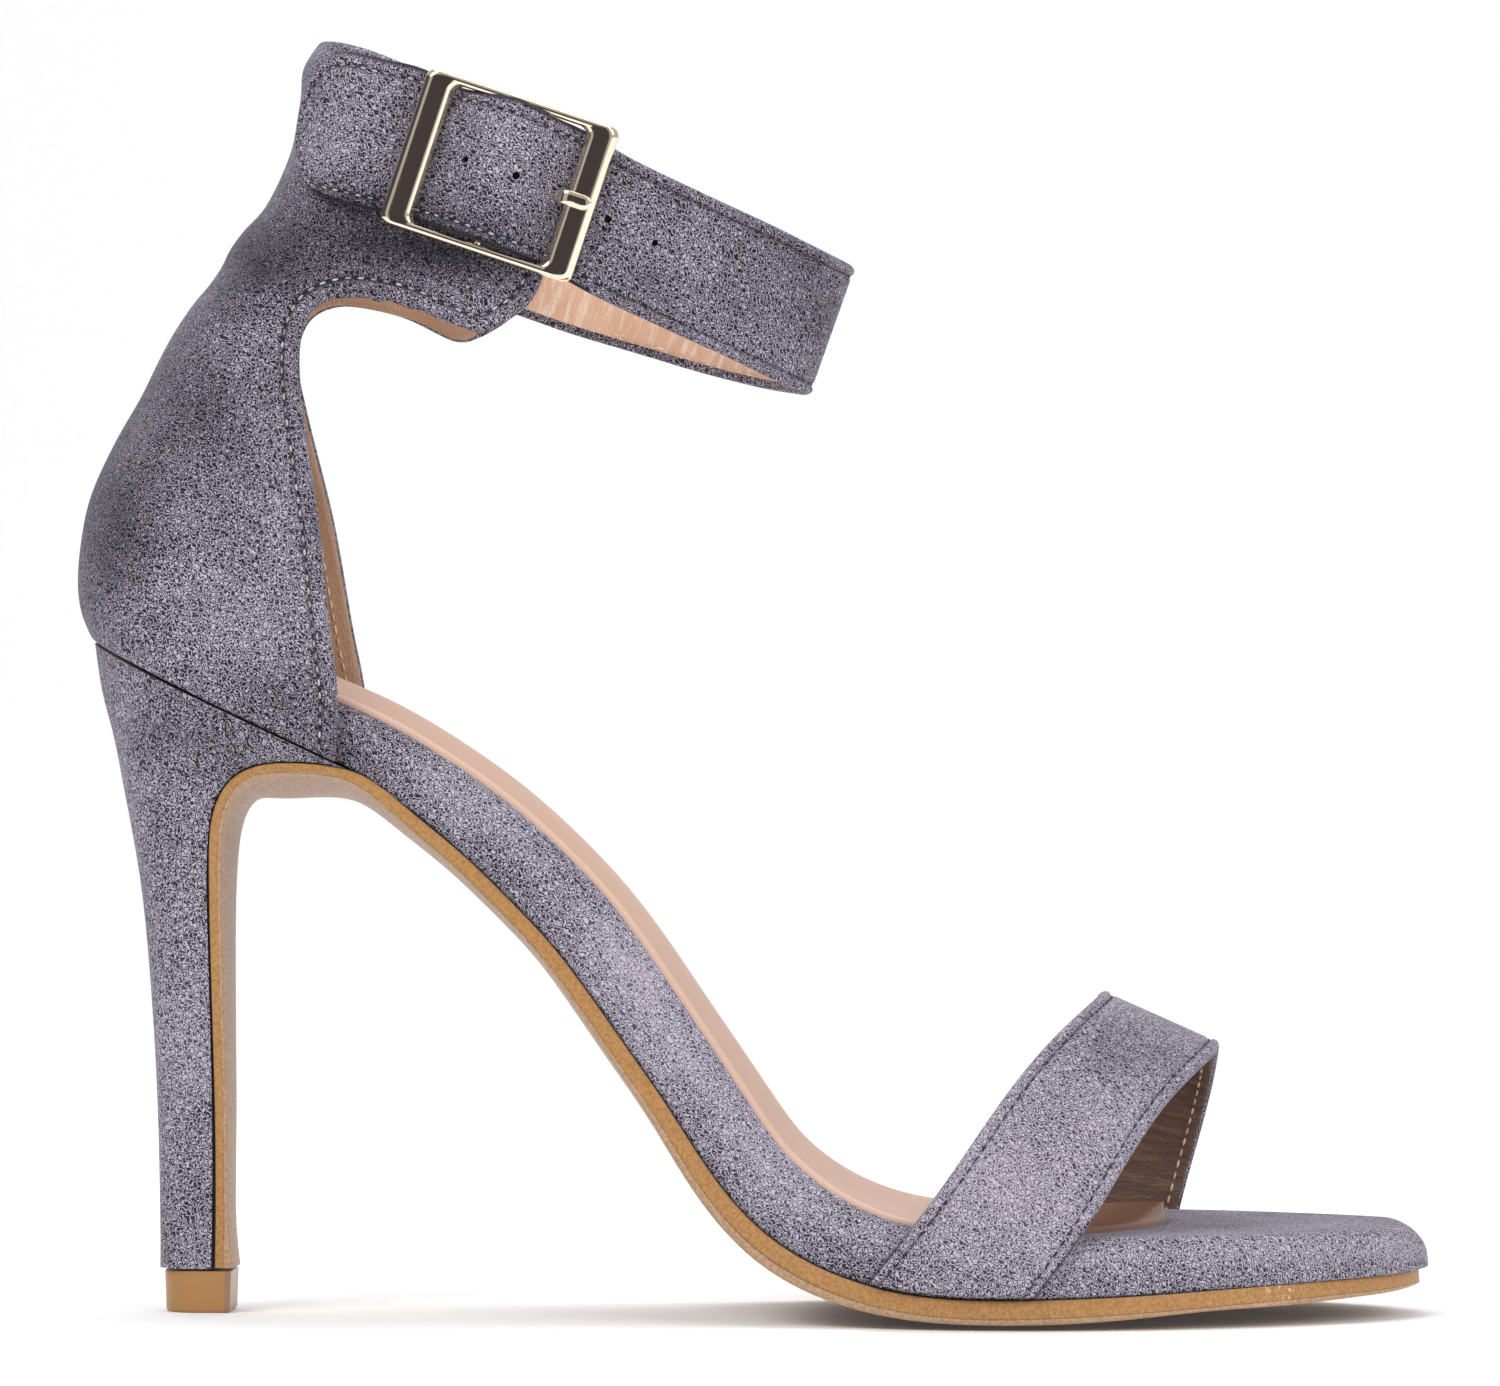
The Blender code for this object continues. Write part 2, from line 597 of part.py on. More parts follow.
def counter_half(deep, row):
    """Half width of the counter at a depth in front of its back line."""
    lean = 1 - np.clip(deep / row["depth"], 0, 1)
    past = np.clip(deep - row["depth"], 0, None)
    swell = row["swell"] * np.sin(np.pi * past / (2 * SWELL_REACH)) ** 2
    return row["half_width"] * np.sqrt(1 - lean**2) + swell


def counter_line(level, count, inner):
    """Points of one counter row from the back line to the front edge, evenly spaced round the heel."""
    row = counter_row(level)
    row["edge_x"] -= row["inner_back"] * inner
    long_x = row["edge_x"] - row["back_x"]
    long_z = row["edge_z"] - row["back_z"]
    length = math.hypot(long_x, long_z)
    deep = row["depth"] * (1 - np.cos(np.linspace(0, np.pi / 2, BACK_SAMPLES)))
    deep = np.concatenate([deep, np.linspace(row["depth"], length, SIDE_SAMPLES)[1:]])
    half = counter_half(deep, row)
    run = run_along(deep, half)
    even = np.linspace(0, run[-1], count)
    share = np.interp(even, run, deep) / length
    x = row["back_x"] + long_x * share
    z = row["back_z"] + long_z * share + row["bow"] * 4 * share * (1 - share)
    return x, np.interp(even, run, half), z


WALL_LEVELS = np.linspace(LOWEST_WALL_LEVEL, 1, WALL_SAMPLES)
WALL_ROWS = [counter_row(level) for level in WALL_LEVELS]


def wall_half(x, z):
    """Half width of the counter's outside at a point of the side view."""
    above = []
    deep = []
    for row in WALL_ROWS:
        ahead = np.array([row["edge_x"] - row["back_x"], row["edge_z"] - row["back_z"]])
        length = np.linalg.norm(ahead)
        ahead /= length
        off = np.array([x - row["back_x"], z - row["back_z"]])
        along = float(off @ ahead)
        share = min(max(along / length, 0), 1)
        above.append(float(ahead[0] * off[1] - ahead[1] * off[0]) - row["bow"] * 4 * share * (1 - share))
        deep.append(along)
    level = float(np.interp(0.0, -np.array(above), WALL_LEVELS))
    reach = float(np.interp(level, WALL_LEVELS, deep))
    return float(counter_half(np.array(max(reach, LEAST_REACH)), counter_row(level)))


def on_wall(x, z, lift, side):
    """Point lifted off the counter's outside, on the outer (-1) or inner (+1) side."""
    here = wall_half(x, z)
    slope_x = (wall_half(x + WALL_STEP, z) - wall_half(x - WALL_STEP, z)) / (2 * WALL_STEP)
    slope_z = (wall_half(x, z + WALL_STEP) - wall_half(x, z - WALL_STEP)) / (2 * WALL_STEP)
    size = math.sqrt(1 + slope_x**2 + slope_z**2)
    return (x - slope_x / size * lift, side * (here + lift / size), z - slope_z / size * lift)


def build_counter(collection, material):
    rows = []
    for level in np.linspace(0, 1, COUNTER_RISE_STEPS):
        x, half, z = counter_line(level, COUNTER_ROUND_STEPS + 1, 1)
        inner = list(zip(x[::-1], half[::-1], z[::-1]))
        x, half, z = counter_line(level, COUNTER_ROUND_STEPS + 1, 0)
        outer = list(zip(x[1:], -half[1:], z[1:]))
        rows.append(inner + outer)
    item = skin("counter_and_ankle_strap", collection, rows, material)
    thicken(item, COUNTER_WALL, -1.0)
    return item


def laid_on(names, rows, offset, side):
    """Rows of a strap laid on the counter's outside, at an offset from its middle line."""
    table = columns(names, rows)
    tilt = np.radians(table["lean"])
    wide = offset * (1 + table["upper_gain"]) if offset > 0 else offset
    across = table["x"] + wide * np.sin(tilt)
    up = table["z"] + wide * np.cos(tilt)
    return [on_wall(x, z, lift, side) for x, z, lift in zip(across, up, table["lift"])]


def strap_points(offset):
    """Rows of the ankle strap's middle surface at an offset from its middle line."""
    free = columns(STRAP_FREE_COLUMNS, STRAP_FREE_ROWS)
    tilt = np.radians(free["lean"])
    points = laid_on(STRAP_ON_COLUMNS, STRAP_ON_ROWS, offset, -1)
    points += list(zip(free["x"] + offset * np.sin(tilt), free["y"], free["z"] + offset * np.cos(tilt)))
    points += laid_on(STRAP_SEWN_COLUMNS, STRAP_SEWN_ROWS, offset, 1)
    return np.array(points)


def build_strap(collection):
    middle = strap_points(0.0)
    knots = run_along(*middle.T)
    even = np.linspace(0, knots[-1], STRAP_STEPS)
    lines = []
    for share in STRAP_LINE_SHARES:
        line = strap_points(share * STRAP_WIDTH / 2)
        start = STRAP_END_ROUND * (1 - math.sqrt(1 - STRAP_END_FULLNESS * share**2))
        at = start + (knots[-1] - start) * even / knots[-1]
        lines.append(spline(knots, line, at))
    rows = list(zip(*lines))
    item = skin("strap_shape", collection, rows, None)
    thicken(item, STRAP_WALL, 0.0)
    return helper(item)


def strap_foot(x, side):
    """Where the toe strap's middle surface stands beside the bed, on the outer (-1) or inner (+1) side."""
    run = np.array([np.interp(-x, -FEATHER["x"], FEATHER_RUN)])
    centre = spline(FEATHER_RUN, FEATHER["centre"], run)[0]
    return centre + side * (bed_half_width(run)[0] + SEAT_GAP + TOE_STRAP_WALL / 2)


def build_toe_strap(collection, material):
    table = columns(TOE_STRAP_COLUMNS, TOE_STRAP_ROWS)
    rows = []
    for share in np.linspace(0, 1, TOE_STRAP_ACROSS):
        edge = {name: np.interp(share, (0, 1), table[name]) for name in TOE_STRAP_COLUMNS}
        line = []
        for turn in np.linspace(0, math.pi, TOE_STRAP_STEPS):
            side = -1 if turn < math.pi / 2 else 1
            wide = abs(math.cos(turn)) ** (2 / TOE_STRAP_POWER)
            high = math.sin(turn) ** (2 / TOE_STRAP_POWER)
            base_x = edge["outer_x"] if side < 0 else edge["inner_x"]
            bow = edge["outer_bow"] if side < 0 else edge["inner_bow"]
            base_z = feather_z(base_x) + SEAT_GAP
            x = edge["top_x"] + (base_x - edge["top_x"]) * (1 - high)
            x -= bow * SHOULDER_GAIN * high**3 * (1 - high)
            middle = edge["skew"] * high
            y = middle + wide * (strap_foot(x, side) - middle)
            line.append((x, y, base_z + (edge["top_z"] - base_z) * high))
        rows.append(line)
    item = skin("toe_strap", collection, rows, material)
    thicken(item, TOE_STRAP_WALL, 0.0)
    return item


def buckle_frame_axes():
    """Origin on the counter's outside under the buckle, with the strap, width and outward axes as columns."""
    slope = math.radians(BUCKLE_SLOPE)
    along = Vector((math.cos(slope), 0, -math.sin(slope)))
    up = Vector((math.sin(slope), 0, math.cos(slope)))
    out = Vector((0, -1, 0))
    place_at = Matrix((along, up, out)).transposed().to_4x4()
    place_at.translation = Vector((BUCKLE_X, -wall_half(BUCKLE_X, BUCKLE_Z), BUCKLE_Z)) * MM
    return place_at


def cylinder(name, collection, radius, length, sides):
    bpy.ops.mesh.primitive_cylinder_add(vertices=sides, radius=radius * MM, depth=length * MM)
    item = bpy.context.active_object
    item.name = name
    for old in list(item.users_collection):
        old.objects.unlink(item)
    collection.objects.link(item)
    return item


def rounded_rectangle(length, height, radius, corner_steps):
    """Points round a rectangle with round corners, the same count for every size."""
    points = []
    for quarter in range(4):
        start = quarter * math.pi / 2
        middle = start + math.pi / 4
        at_x = math.copysign(length / 2 - radius, math.cos(middle))
        at_y = math.copysign(height / 2 - radius, math.sin(middle))
        for turn in np.linspace(start, start + math.pi / 2, corner_steps):
            points.append((at_x + radius * math.cos(turn), at_y + radius * math.sin(turn)))
    return points


def build_buckle(collection, cutters, material):
    axes = buckle_frame_axes()
    outside = rounded_rectangle(FRAME_LENGTH, FRAME_HEIGHT, FRAME_CORNER, FRAME_CORNER_STEPS)
    inside = rounded_rectangle(
        FRAME_LENGTH - 2 * END_BAR, FRAME_HEIGHT - 2 * SIDE_BAR, FRAME_CORNER, FRAME_CORNER_STEPS
    )
    rings = []
    for (out_x, out_y), (in_x, in_y) in zip(outside, inside):
        ring = []
        for share, high in FRAME_SECTION:
            x = out_x + (in_x - out_x) * share
            y = out_y + (in_y - out_y) * share
            ring.append((x, y, FRAME_UNDER + FRAME_THICK * high))
        rings.append(ring)
    frame = loft("buckle_frame", collection, rings, material, closed=True)
    bar = cylinder("buckle_bar", cutters, CENTRE_BAR_RADIUS, FRAME_HEIGHT - SIDE_BAR, CENTRE_BAR_SIDES)
    bar.data.transform(Matrix.Rotation(math.pi / 2, 4, "X"))
    bar.data.transform(Matrix.Translation((0, 0, CENTRE_BAR_LIFT * MM)))
    for item in (frame, bar):
        item.matrix_world = axes
    cut(frame, helper(bar), "UNION")
    return frame


def build_prong(collection, material):
    axes = buckle_frame_axes()
    turns = np.radians(np.linspace(HOOK_FROM, HOOK_TO, HOOK_STEPS))
    hook = [(HOOK_RADIUS * math.cos(t), CENTRE_BAR_LIFT + HOOK_RADIUS * math.sin(t)) for t in turns]
    path = np.array(hook + list(PRONG_PATH))
    run = run_along(*path.T)
    line = spline(run, path, np.linspace(0, run[-1], PRONG_STEPS))
    ahead = np.gradient(line, axis=0)
    ahead /= np.linalg.norm(ahead, axis=1)[:, None]
    rings = []
    for middle, along in zip(line, ahead):
        side = np.array([-along[1], along[0]])
        ring = []
        for across, over in PRONG_SECTION:
            at = middle + side * over * PRONG_HALF_THICK
            local = Vector((at[0], across * PRONG_HALF_WIDTH, at[1])) * MM
            ring.append(tuple((axes @ local) / MM))
        rings.append(ring)
    return loft("buckle_prong", collection, rings, material)


def build_prong_hole(cutters):
    hole = cylinder("prong_hole", cutters, PRONG_HOLE_RADIUS, PRONG_HOLE_LENGTH, PRONG_HOLE_SIDES)
    tilt = math.radians(90 - PRONG_HOLE_SLOPE)
    hole.data.transform(Matrix.Rotation(tilt, 4, "Y"))
    hole.data.transform(Matrix.Translation((PRONG_HOLE_AT[0] * MM, 0, PRONG_HOLE_AT[1] * MM)))
    hole.matrix_world = buckle_frame_axes()
    return helper(hole)


def centre_on_origin(parts, others):
    """Stand the shoe on Z = 0 with its outline centred on the origin."""
    bpy.context.view_layer.update()
    graph = bpy.context.evaluated_depsgraph_get()
    corners = []
    for item in parts:
        live = item.evaluated_get(graph)
        corners += [live.matrix_world @ Vector(c) for c in live.bound_box]
    low = np.min(corners, axis=0)
    high = np.max(corners, axis=0)
    shift = Vector((-(low[0] + high[0]) / 2, -(low[1] + high[1]) / 2, -low[2]))
    for item in parts + others:
        item.matrix_world = Matrix.Translation(shift) @ item.matrix_world


def main():
    for item in list(bpy.data.objects):
        bpy.data.objects.remove(item)
    shoe = bpy.data.collections.new("ankle_strap_sandal")
    cutters = bpy.data.collections.new("cutters")
    bpy.context.scene.collection.children.link(shoe)
    bpy.context.scene.collection.children.link(cutters)

    build_bed(shoe, make_material("bed_suede", SUEDE_COLOUR, SUEDE_ROUGHNESS))
    build_sock(shoe, make_material("sock_lining", SOCK_COLOUR, SHEET_ROUGHNESS))
    build_outsole(shoe, make_material("outsole_tan", TAN_COLOUR, SHEET_ROUGHNESS))
    build_heel(shoe, make_material("heel_suede", SUEDE_COLOUR, SUEDE_ROUGHNESS))
    build_tip(shoe, make_material("tip_tan", TAN_COLOUR, SHEET_ROUGHNESS))
    counter = build_counter(shoe, make_material("upper_suede", SUEDE_COLOUR, SUEDE_ROUGHNESS))
    strap = build_strap(cutters)
    cut(strap, build_prong_hole(cutters), "DIFFERENCE")
    cut(counter, strap, "UNION")
    build_toe_strap(shoe, make_material("toe_strap_suede", SUEDE_COLOUR, SUEDE_ROUGHNESS))
    build_buckle(shoe, cutters, make_material("frame_metal", GOLD_COLOUR, GOLD_ROUGHNESS, 1.0))
    build_prong(shoe, make_material("prong_metal", GOLD_COLOUR, GOLD_ROUGHNESS, 1.0))
    centre_on_origin(list(shoe.objects), list(cutters.objects))


main()
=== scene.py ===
# %% [markdown]
# # A high-heeled ankle strap sandal, dressed over its CAD frame
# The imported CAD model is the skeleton: it says where every piece of the shoe sits. This lesson
# rebuilds the soft pieces from the same short tables with many more points, so that edges can be
# folded, seams can sink in and linings can show, and then gives each piece its finish.

import math

import bmesh
import bpy
import numpy as np
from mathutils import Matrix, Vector


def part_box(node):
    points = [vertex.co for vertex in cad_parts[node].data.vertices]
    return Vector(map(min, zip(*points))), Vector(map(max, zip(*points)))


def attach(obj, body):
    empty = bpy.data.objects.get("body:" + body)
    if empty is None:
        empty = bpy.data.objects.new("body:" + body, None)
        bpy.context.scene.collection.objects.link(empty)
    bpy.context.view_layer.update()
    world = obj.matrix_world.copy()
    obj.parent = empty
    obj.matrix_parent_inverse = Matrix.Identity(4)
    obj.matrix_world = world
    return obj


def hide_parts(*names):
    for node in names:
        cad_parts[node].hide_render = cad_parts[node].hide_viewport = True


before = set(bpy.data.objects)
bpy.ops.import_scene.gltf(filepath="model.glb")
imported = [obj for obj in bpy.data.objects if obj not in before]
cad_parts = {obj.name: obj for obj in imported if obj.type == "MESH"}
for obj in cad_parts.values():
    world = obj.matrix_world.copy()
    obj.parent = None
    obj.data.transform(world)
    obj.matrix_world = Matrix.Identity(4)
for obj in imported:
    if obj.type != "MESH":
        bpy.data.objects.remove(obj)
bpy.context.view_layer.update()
print("CAD nodes:", sorted(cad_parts))

# %% [markdown]
# ## The last's own measure
# A shoe is drawn on its last, in millimetres, from the back of the heel. The tables below use that
# measure. One corner of the heel tip is known in both measures, so it gives the shift to the frame.

# %% From the last's millimetres to the frame's metres
MM = 0.001
TIP_CORNER_ON_LAST = (14.2, -5.9, 0.0)
SHIFT = np.array(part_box("heel_tip")[0]) / MM - np.array(TIP_CORNER_ON_LAST)


def to_frame(points):
    """Points of the last, in millimetres, as points of the frame, in metres."""
    return (np.asarray(points, float) + SHIFT) * MM


print("shift of the last in mm:", np.round(SHIFT, 2))

# %% [markdown]
# ## Smooth curves through short tables
# Every section of the shoe is one row of a table. A natural cubic spline runs through the rows, as
# a bent batten would, so a handful of rows gives as many in-between sections as a mesh needs.

# %% Curve helpers


def columns(names, rows):
    """A table as one array per named column."""
    return dict(zip(names, np.array(rows, float).T))


def spline(knots, values, at):
    """Natural cubic through the values at the knots."""
    knots = np.asarray(knots, float)
    values = np.asarray(values, float)
    gaps = np.diff(knots)
    count = len(knots)
    system = np.eye(count)
    pull = np.zeros(values.shape)
    for i in range(1, count - 1):
        system[i, i - 1 : i + 2] = gaps[i - 1], 2 * (gaps[i - 1] + gaps[i]), gaps[i]
        pull[i] = 6 * ((values[i + 1] - values[i]) / gaps[i] - (values[i] - values[i - 1]) / gaps[i - 1])
    bend = np.linalg.solve(system, pull)
    at = np.asarray(at, float)
    cell = np.clip(np.searchsorted(knots, at) - 1, 0, count - 2)
    gap = gaps[cell]
    high = (at - knots[cell]) / gap
    low = 1 - high
    if values.ndim > 1:
        gap, high, low = gap[:, None], high[:, None], low[:, None]
    curve = low * values[cell] + high * values[cell + 1]
    return curve + ((low**3 - low) * bend[cell] + (high**3 - high) * bend[cell + 1]) * gap**2 / 6


def run_along(*lines):
    """Distance along a path given by its coordinates."""
    steps = np.sqrt(sum(np.diff(line) ** 2 for line in lines))
    return np.concatenate([[0.0], np.cumsum(steps)])


def round_end(distance, length):
    """Share of the full width at a distance from a rounded end."""
    return np.sqrt(1 - (1 - np.clip(distance / length, 0, 1)) ** 2)


def unit(vectors):
    """Vectors brought to length one."""
    return vectors / np.linalg.norm(vectors, axis=-1, keepdims=True)


def bell(distance, width):
    """Soft bump of height one, for troughs, ridges and patches."""
    return np.exp(-((distance / width) ** 2))


# %% [markdown]
# ## From a grid of points to a piece
# A mesh is points, faces and values that materials can read. The helper welds points that fall on
# each other, turns the faces outwards and smooths the shading except over sharp corners.

# %% Mesh helpers
WELD = 2e-6
SHARP_CORNER = math.radians(50)


def put(name, data):
    """New object in the scene."""
    item = bpy.data.objects.new(name, data)
    bpy.context.scene.collection.objects.link(item)
    return item


def grid_faces(index, turn=False):
    """Quads of a grid of point numbers."""
    quads = np.stack([index[:-1, :-1], index[:-1, 1:], index[1:, 1:], index[1:, :-1]], -1).reshape(-1, 4)
    return (quads[:, ::-1] if turn else quads).tolist()


def make_piece(name, points, faces, materials, slots=None, values=None, cut=None):
    """Object from points of the last, with a material number per face and values per point."""
    mesh = bpy.data.meshes.new(name)
    mesh.from_pydata(to_frame(points).tolist(), [], faces)
    for material in materials:
        mesh.materials.append(material)
    if slots is not None:
        mesh.polygons.foreach_set("material_index", np.asarray(slots, np.int32))
    for key, value in (values or {}).items():
        layer = mesh.attributes.new(key, "FLOAT", "POINT")
        layer.data.foreach_set("value", np.asarray(value, np.float32).ravel())
    if cut is not None:
        corners = np.empty(len(mesh.loops), np.int32)
        mesh.loops.foreach_get("vertex_index", corners)
        layer = mesh.uv_layers.new(name="cut")
        layer.data.foreach_set("uv", (np.asarray(cut)[corners] * MM).astype(np.float32).ravel())
    work = bmesh.new()
    work.from_mesh(mesh)
    bmesh.ops.remove_doubles(work, verts=work.verts, dist=WELD)
    bmesh.ops.recalc_face_normals(work, faces=work.faces)
    work.to_mesh(mesh)
    work.free()
    mesh.polygons.foreach_set("use_smooth", [True] * len(mesh.polygons))
    mesh.set_sharp_from_angle(angle=SHARP_CORNER)
    print(f"{name}: {len(mesh.polygons)} faces")
    return put(name, mesh)


def loft(name, rings, materials, slots_round=None, values=None):
    """Closed solid through rings of equal point counts, with a material number per strip."""
    rings = np.asarray(rings, float)
    total, count = rings.shape[:2]
    index = np.arange(total * count).reshape(total, count)
    faces = grid_faces(np.concatenate([index, index[:, :1]], axis=1))
    slots = list(slots_round or [0] * count) * (total - 1) + [0, 0]
    faces.append(index[0].tolist())
    faces.append(index[-1].tolist())
    return make_piece(name, rings.reshape(-1, 3), faces, materials, slots, values)


# %% [markdown]
# ## Nap and painted light: where the suede looks light or dark
# Suede is a brushed pile. Where a hand has stroked it the other way it looks lighter or darker, in
# soft patches. Some patches are painted shade and painted light instead: painted shadow under the
# buckle and under the strap's tail, painted shade at the back of the counter and at the strap's front
# bend, and painted highlights on the toe strap's face and on the strap where it bulges in the buckle.
# They are placed from the photograph, as the middle, reach and strength of each patch on the side
# view, and stored per point so that the material can read them.

# %% Hand-placed patches of the nap
# Middle along the shoe and up, reach along and up, lighter (+) or darker (-)
NAP_AND_PAINTED_LIGHT_ROWS = (
    (196.0, 10.0, 24.0, 7.0, -0.28),
    (71.0, 184.0, 11.0, 10.0, -0.26),
    (25.0, 140.0, 45.0, 48.0, -0.22),
    (85.0, 180.0, 45.0, 26.0, -0.10),
    (158.0, 26.0, 26.0, 30.0, 0.42),
    (100.0, 45.0, 40.0, 42.0, 0.36),
    (195.0, 10.0, 30.0, 10.0, 0.22),
    (20.0, 30.0, 14.0, 40.0, 0.22),
    (24.0, 114.0, 15.0, 12.0, 0.36),
    (35.0, 124.0, 5.0, 16.0, 0.25),
    # Painted shade at the back of the counter
    (7.0, 128.0, 9.0, 18.0, -0.55),
    (21.0, 148.0, 10.0, 8.0, -0.28),
    # Painted shadow under the strap's tail and the buckle
    (31.0, 171.0, 10.0, 8.0, -0.55),
    (46.0, 178.0, 12.0, 5.0, -0.40),
    (58.0, 172.0, 17.0, 6.0, -0.75),
    (33.0, 101.0, 9.0, 7.0, -0.18),
    # Painted highlight where the strap bulges in the buckle
    (71.7, 189.4, 6.0, 8.0, 0.45),
    (47.0, 189.0, 9.0, 8.0, 0.30),
    (92.0, 167.0, 15.0, 4.0, -0.22),
    # Painted shade where the strap turns away at its front bend
    (121.0, 166.0, 5.0, 12.0, -0.40),
    (112.0, 172.0, 8.0, 9.0, -0.10),
    (91.0, 53.0, 11.0, 15.0, 0.36),
    (65.0, 84.0, 9.0, 6.0, 0.30),
    (47.0, 94.0, 7.0, 6.0, -0.30),
    (78.0, 66.0, 7.0, 8.0, -0.12),
    (112.0, 25.0, 8.0, 9.0, 0.20),
    (170.0, 44.0, 11.0, 6.0, -0.50),
    # Painted light on the toe strap's outer face
    (150.0, 22.0, 12.0, 9.0, 0.40),
    (156.5, 26.0, 8.0, 7.0, -0.16),
    (200.0, 10.5, 20.0, 4.0, 0.30),
    (8.0, 90.0, 6.0, 12.0, 0.20),
    (17.0, 52.0, 7.0, 15.0, 0.20),
    (22.0, 94.0, 17.0, 5.0, -0.30),
    (15.5, 21.0, 7.0, 14.0, -0.10),
)


def nap_and_painted_light_at(points):
    """Lighter (+) or darker (-) patches of the pile, and painted light and shade, at points of the last."""
    points = np.asarray(points, float).reshape(-1, 3)
    total = np.zeros(len(points))
    for x, z, reach_x, reach_z, lighter in NAP_AND_PAINTED_LIGHT_ROWS:
        total += lighter * bell(points[:, 0] - x, reach_x) * bell(points[:, 2] - z, reach_z)
    return total


print("nap patches:", len(NAP_AND_PAINTED_LIGHT_ROWS))

# %% [markdown]
# ## Finishes
# A finish is a small tree of nodes. Noise on Object coordinates gives grain at its real size, in
# metres, and values stored on the points say where linings, seams and patches are. Numbers that
# are the same all over sit on the shader's own sockets.

# %% Node helpers


def feed(tree, socket, value):
    """Link a socket, or set a number or a colour on it."""
    if isinstance(value, bpy.types.NodeSocket):
        tree.links.new(value, socket)
    else:
        socket.default_value = (*value, 1.0) if socket.type == "RGBA" else value


def step(tree, kind, inputs=None, **settings):
    """New node with its settings and its inputs linked or set. Gives its outputs."""
    made = tree.nodes.new(kind)
    for key, value in settings.items():
        setattr(made, key, value)
    for key, value in (inputs or {}).items():
        feed(tree, made.inputs[key], value)
    return made.outputs


class Finish:
    """A material in the making, with short words for the nodes that finishes need."""

    def __init__(self, name):
        self.material = bpy.data.materials.new(name)
        self.material.use_nodes = True
        self.tree = self.material.node_tree
        self.shader = self.tree.nodes["Principled BSDF"]
        self.coords = self.step("ShaderNodeTexCoord")["Object"]

    def step(self, kind, inputs=None, **settings):
        return step(self.tree, kind, inputs, **settings)

    def reckon(self, operation, first, second):
        return self.step("ShaderNodeMath", {0: first, 1: second}, operation=operation)[0]

    def times(self, first, second):
        return self.reckon("MULTIPLY", first, second)

    def mix(self, share, first, second, blend="MIX"):
        colours = {0: share, 6: first, 7: second}
        return self.step("ShaderNodeMix", colours, data_type="RGBA", blend_type=blend)[2]

    def noise(self, size_mm, detail=3.0, roughness=0.6, distortion=0.0, vector=None):
        """Noise whose lumps are about the given size."""
        inputs = {"Vector": self.coords if vector is None else vector, "Scale": 1 / (size_mm * MM)}
        inputs |= {"Detail": detail, "Roughness": roughness, "Distortion": distortion}
        return self.step("ShaderNodeTexNoise", inputs)["Fac"]

    def ramp(self, share, stops):
        """Colour ramp through (position, colour) stops."""
        made = self.step("ShaderNodeValToRGB", {"Fac": share})["Color"]
        elements = made.node.color_ramp.elements
        while len(elements) < len(stops):
            elements.new(0.5)
        for element, (position, colour) in zip(elements, stops):
            element.position = position
            element.color = (*colour, 1.0)
        return made

    def value(self, name):
        """Value stored on the points."""
        return self.step("ShaderNodeAttribute", attribute_name=name)["Fac"]

    def over(self, value, threshold, softness):
        """Zero below a threshold and one above it, over a short soft step."""
        limits = {"Value": value, "From Min": threshold - softness, "From Max": threshold + softness}
        return self.step("ShaderNodeMapRange", limits, interpolation_type="SMOOTHSTEP")["Result"]

    def between(self, share, low, high):
        return self.step("ShaderNodeMapRange", {"Value": share, "To Min": low, "To Max": high})["Result"]

    def bump(self, height, depth_mm, strength):
        inputs = {"Height": height, "Distance": depth_mm * MM, "Strength": strength}
        feed(self.tree, self.shader.inputs["Normal"], self.step("ShaderNodeBump", inputs)["Normal"])

    def shade(self, **inputs):
        """Feed the shader's sockets, named with _ for a space, and give the material."""
        for key, value in inputs.items():
            feed(self.tree, self.shader.inputs[key.replace("_", " ")], value)
        return self.material


# %% [markdown]
# ## Suede
# The upper is a grey-mauve brushed microfibre suede. Its pile makes short crinkled specks about
# half a millimetre across over broad soft clouds. The specks are a wave of fine bands that a noise
# bends to and fro, which leaves short worms of even contrast. Colour and bump come from the same
# value, so a light worm of pile is also a raised one.

# %% Suede finish
SUEDE_STOPS = ((0.0, (0.012, 0.010, 0.015)), (0.48, (0.105, 0.092, 0.120)), (1.0, (0.500, 0.455, 0.550)))
SUEDE_ROUGH = 0.95
SHEEN_TINT = (0.80, 0.78, 0.88)
WORM_MM = 0.58
WORM_BEND = 8.5
# Bands of the wave in each worm's width
WORM_BANDS = 0.444
CLOUD_MM = 11.0
CLOUD_STRENGTH, NAP_AND_PAINTED_LIGHT_STRENGTH = 0.40, 0.46


def suede_colour(finish):
    """Colour of the brushed pile with its lighter and darker patches, painted light and painted shade, and the
    pile's height.
    """
    wave = {"Scale": WORM_BANDS / (WORM_MM * MM), "Distortion": WORM_BEND, "Detail": 0.0, "Detail Scale": 2.5}
    kind = {"wave_type": "BANDS", "bands_direction": "DIAGONAL", "wave_profile": "SIN"}
    pile = finish.step("ShaderNodeTexWave", {**wave, "Vector": finish.coords}, **kind)["Fac"]
    cloud = finish.reckon("SUBTRACT", finish.noise(CLOUD_MM, 2.0, 0.5), 0.5)
    mottled = finish.reckon("ADD", pile, finish.times(cloud, CLOUD_STRENGTH))
    # Patches of the pile, with painted light and shade among them, lift or lower the tone; painted shade in the
    # seam grooves and along some edges lowers it
    nap_and_light = finish.times(finish.value("nap"), NAP_AND_PAINTED_LIGHT_STRENGTH)
    tone = finish.reckon("ADD", mottled, finish.reckon("SUBTRACT", nap_and_light, finish.value("groove")))
    return finish.ramp(tone, SUEDE_STOPS), pile


def make_suede(name):
    finish = Finish(name)
    colour, pile = suede_colour(finish)
    finish.bump(pile, 0.2, 0.4)
    finish.shade(Base_Color=colour, Roughness=SUEDE_ROUGH, Specular_IOR_Level=0.15)
    return finish.shade(Sheen_Weight=0.22, Sheen_Roughness=0.45, Sheen_Tint=SHEEN_TINT)


suede = make_suede("suede")
print("finish:", suede.name)
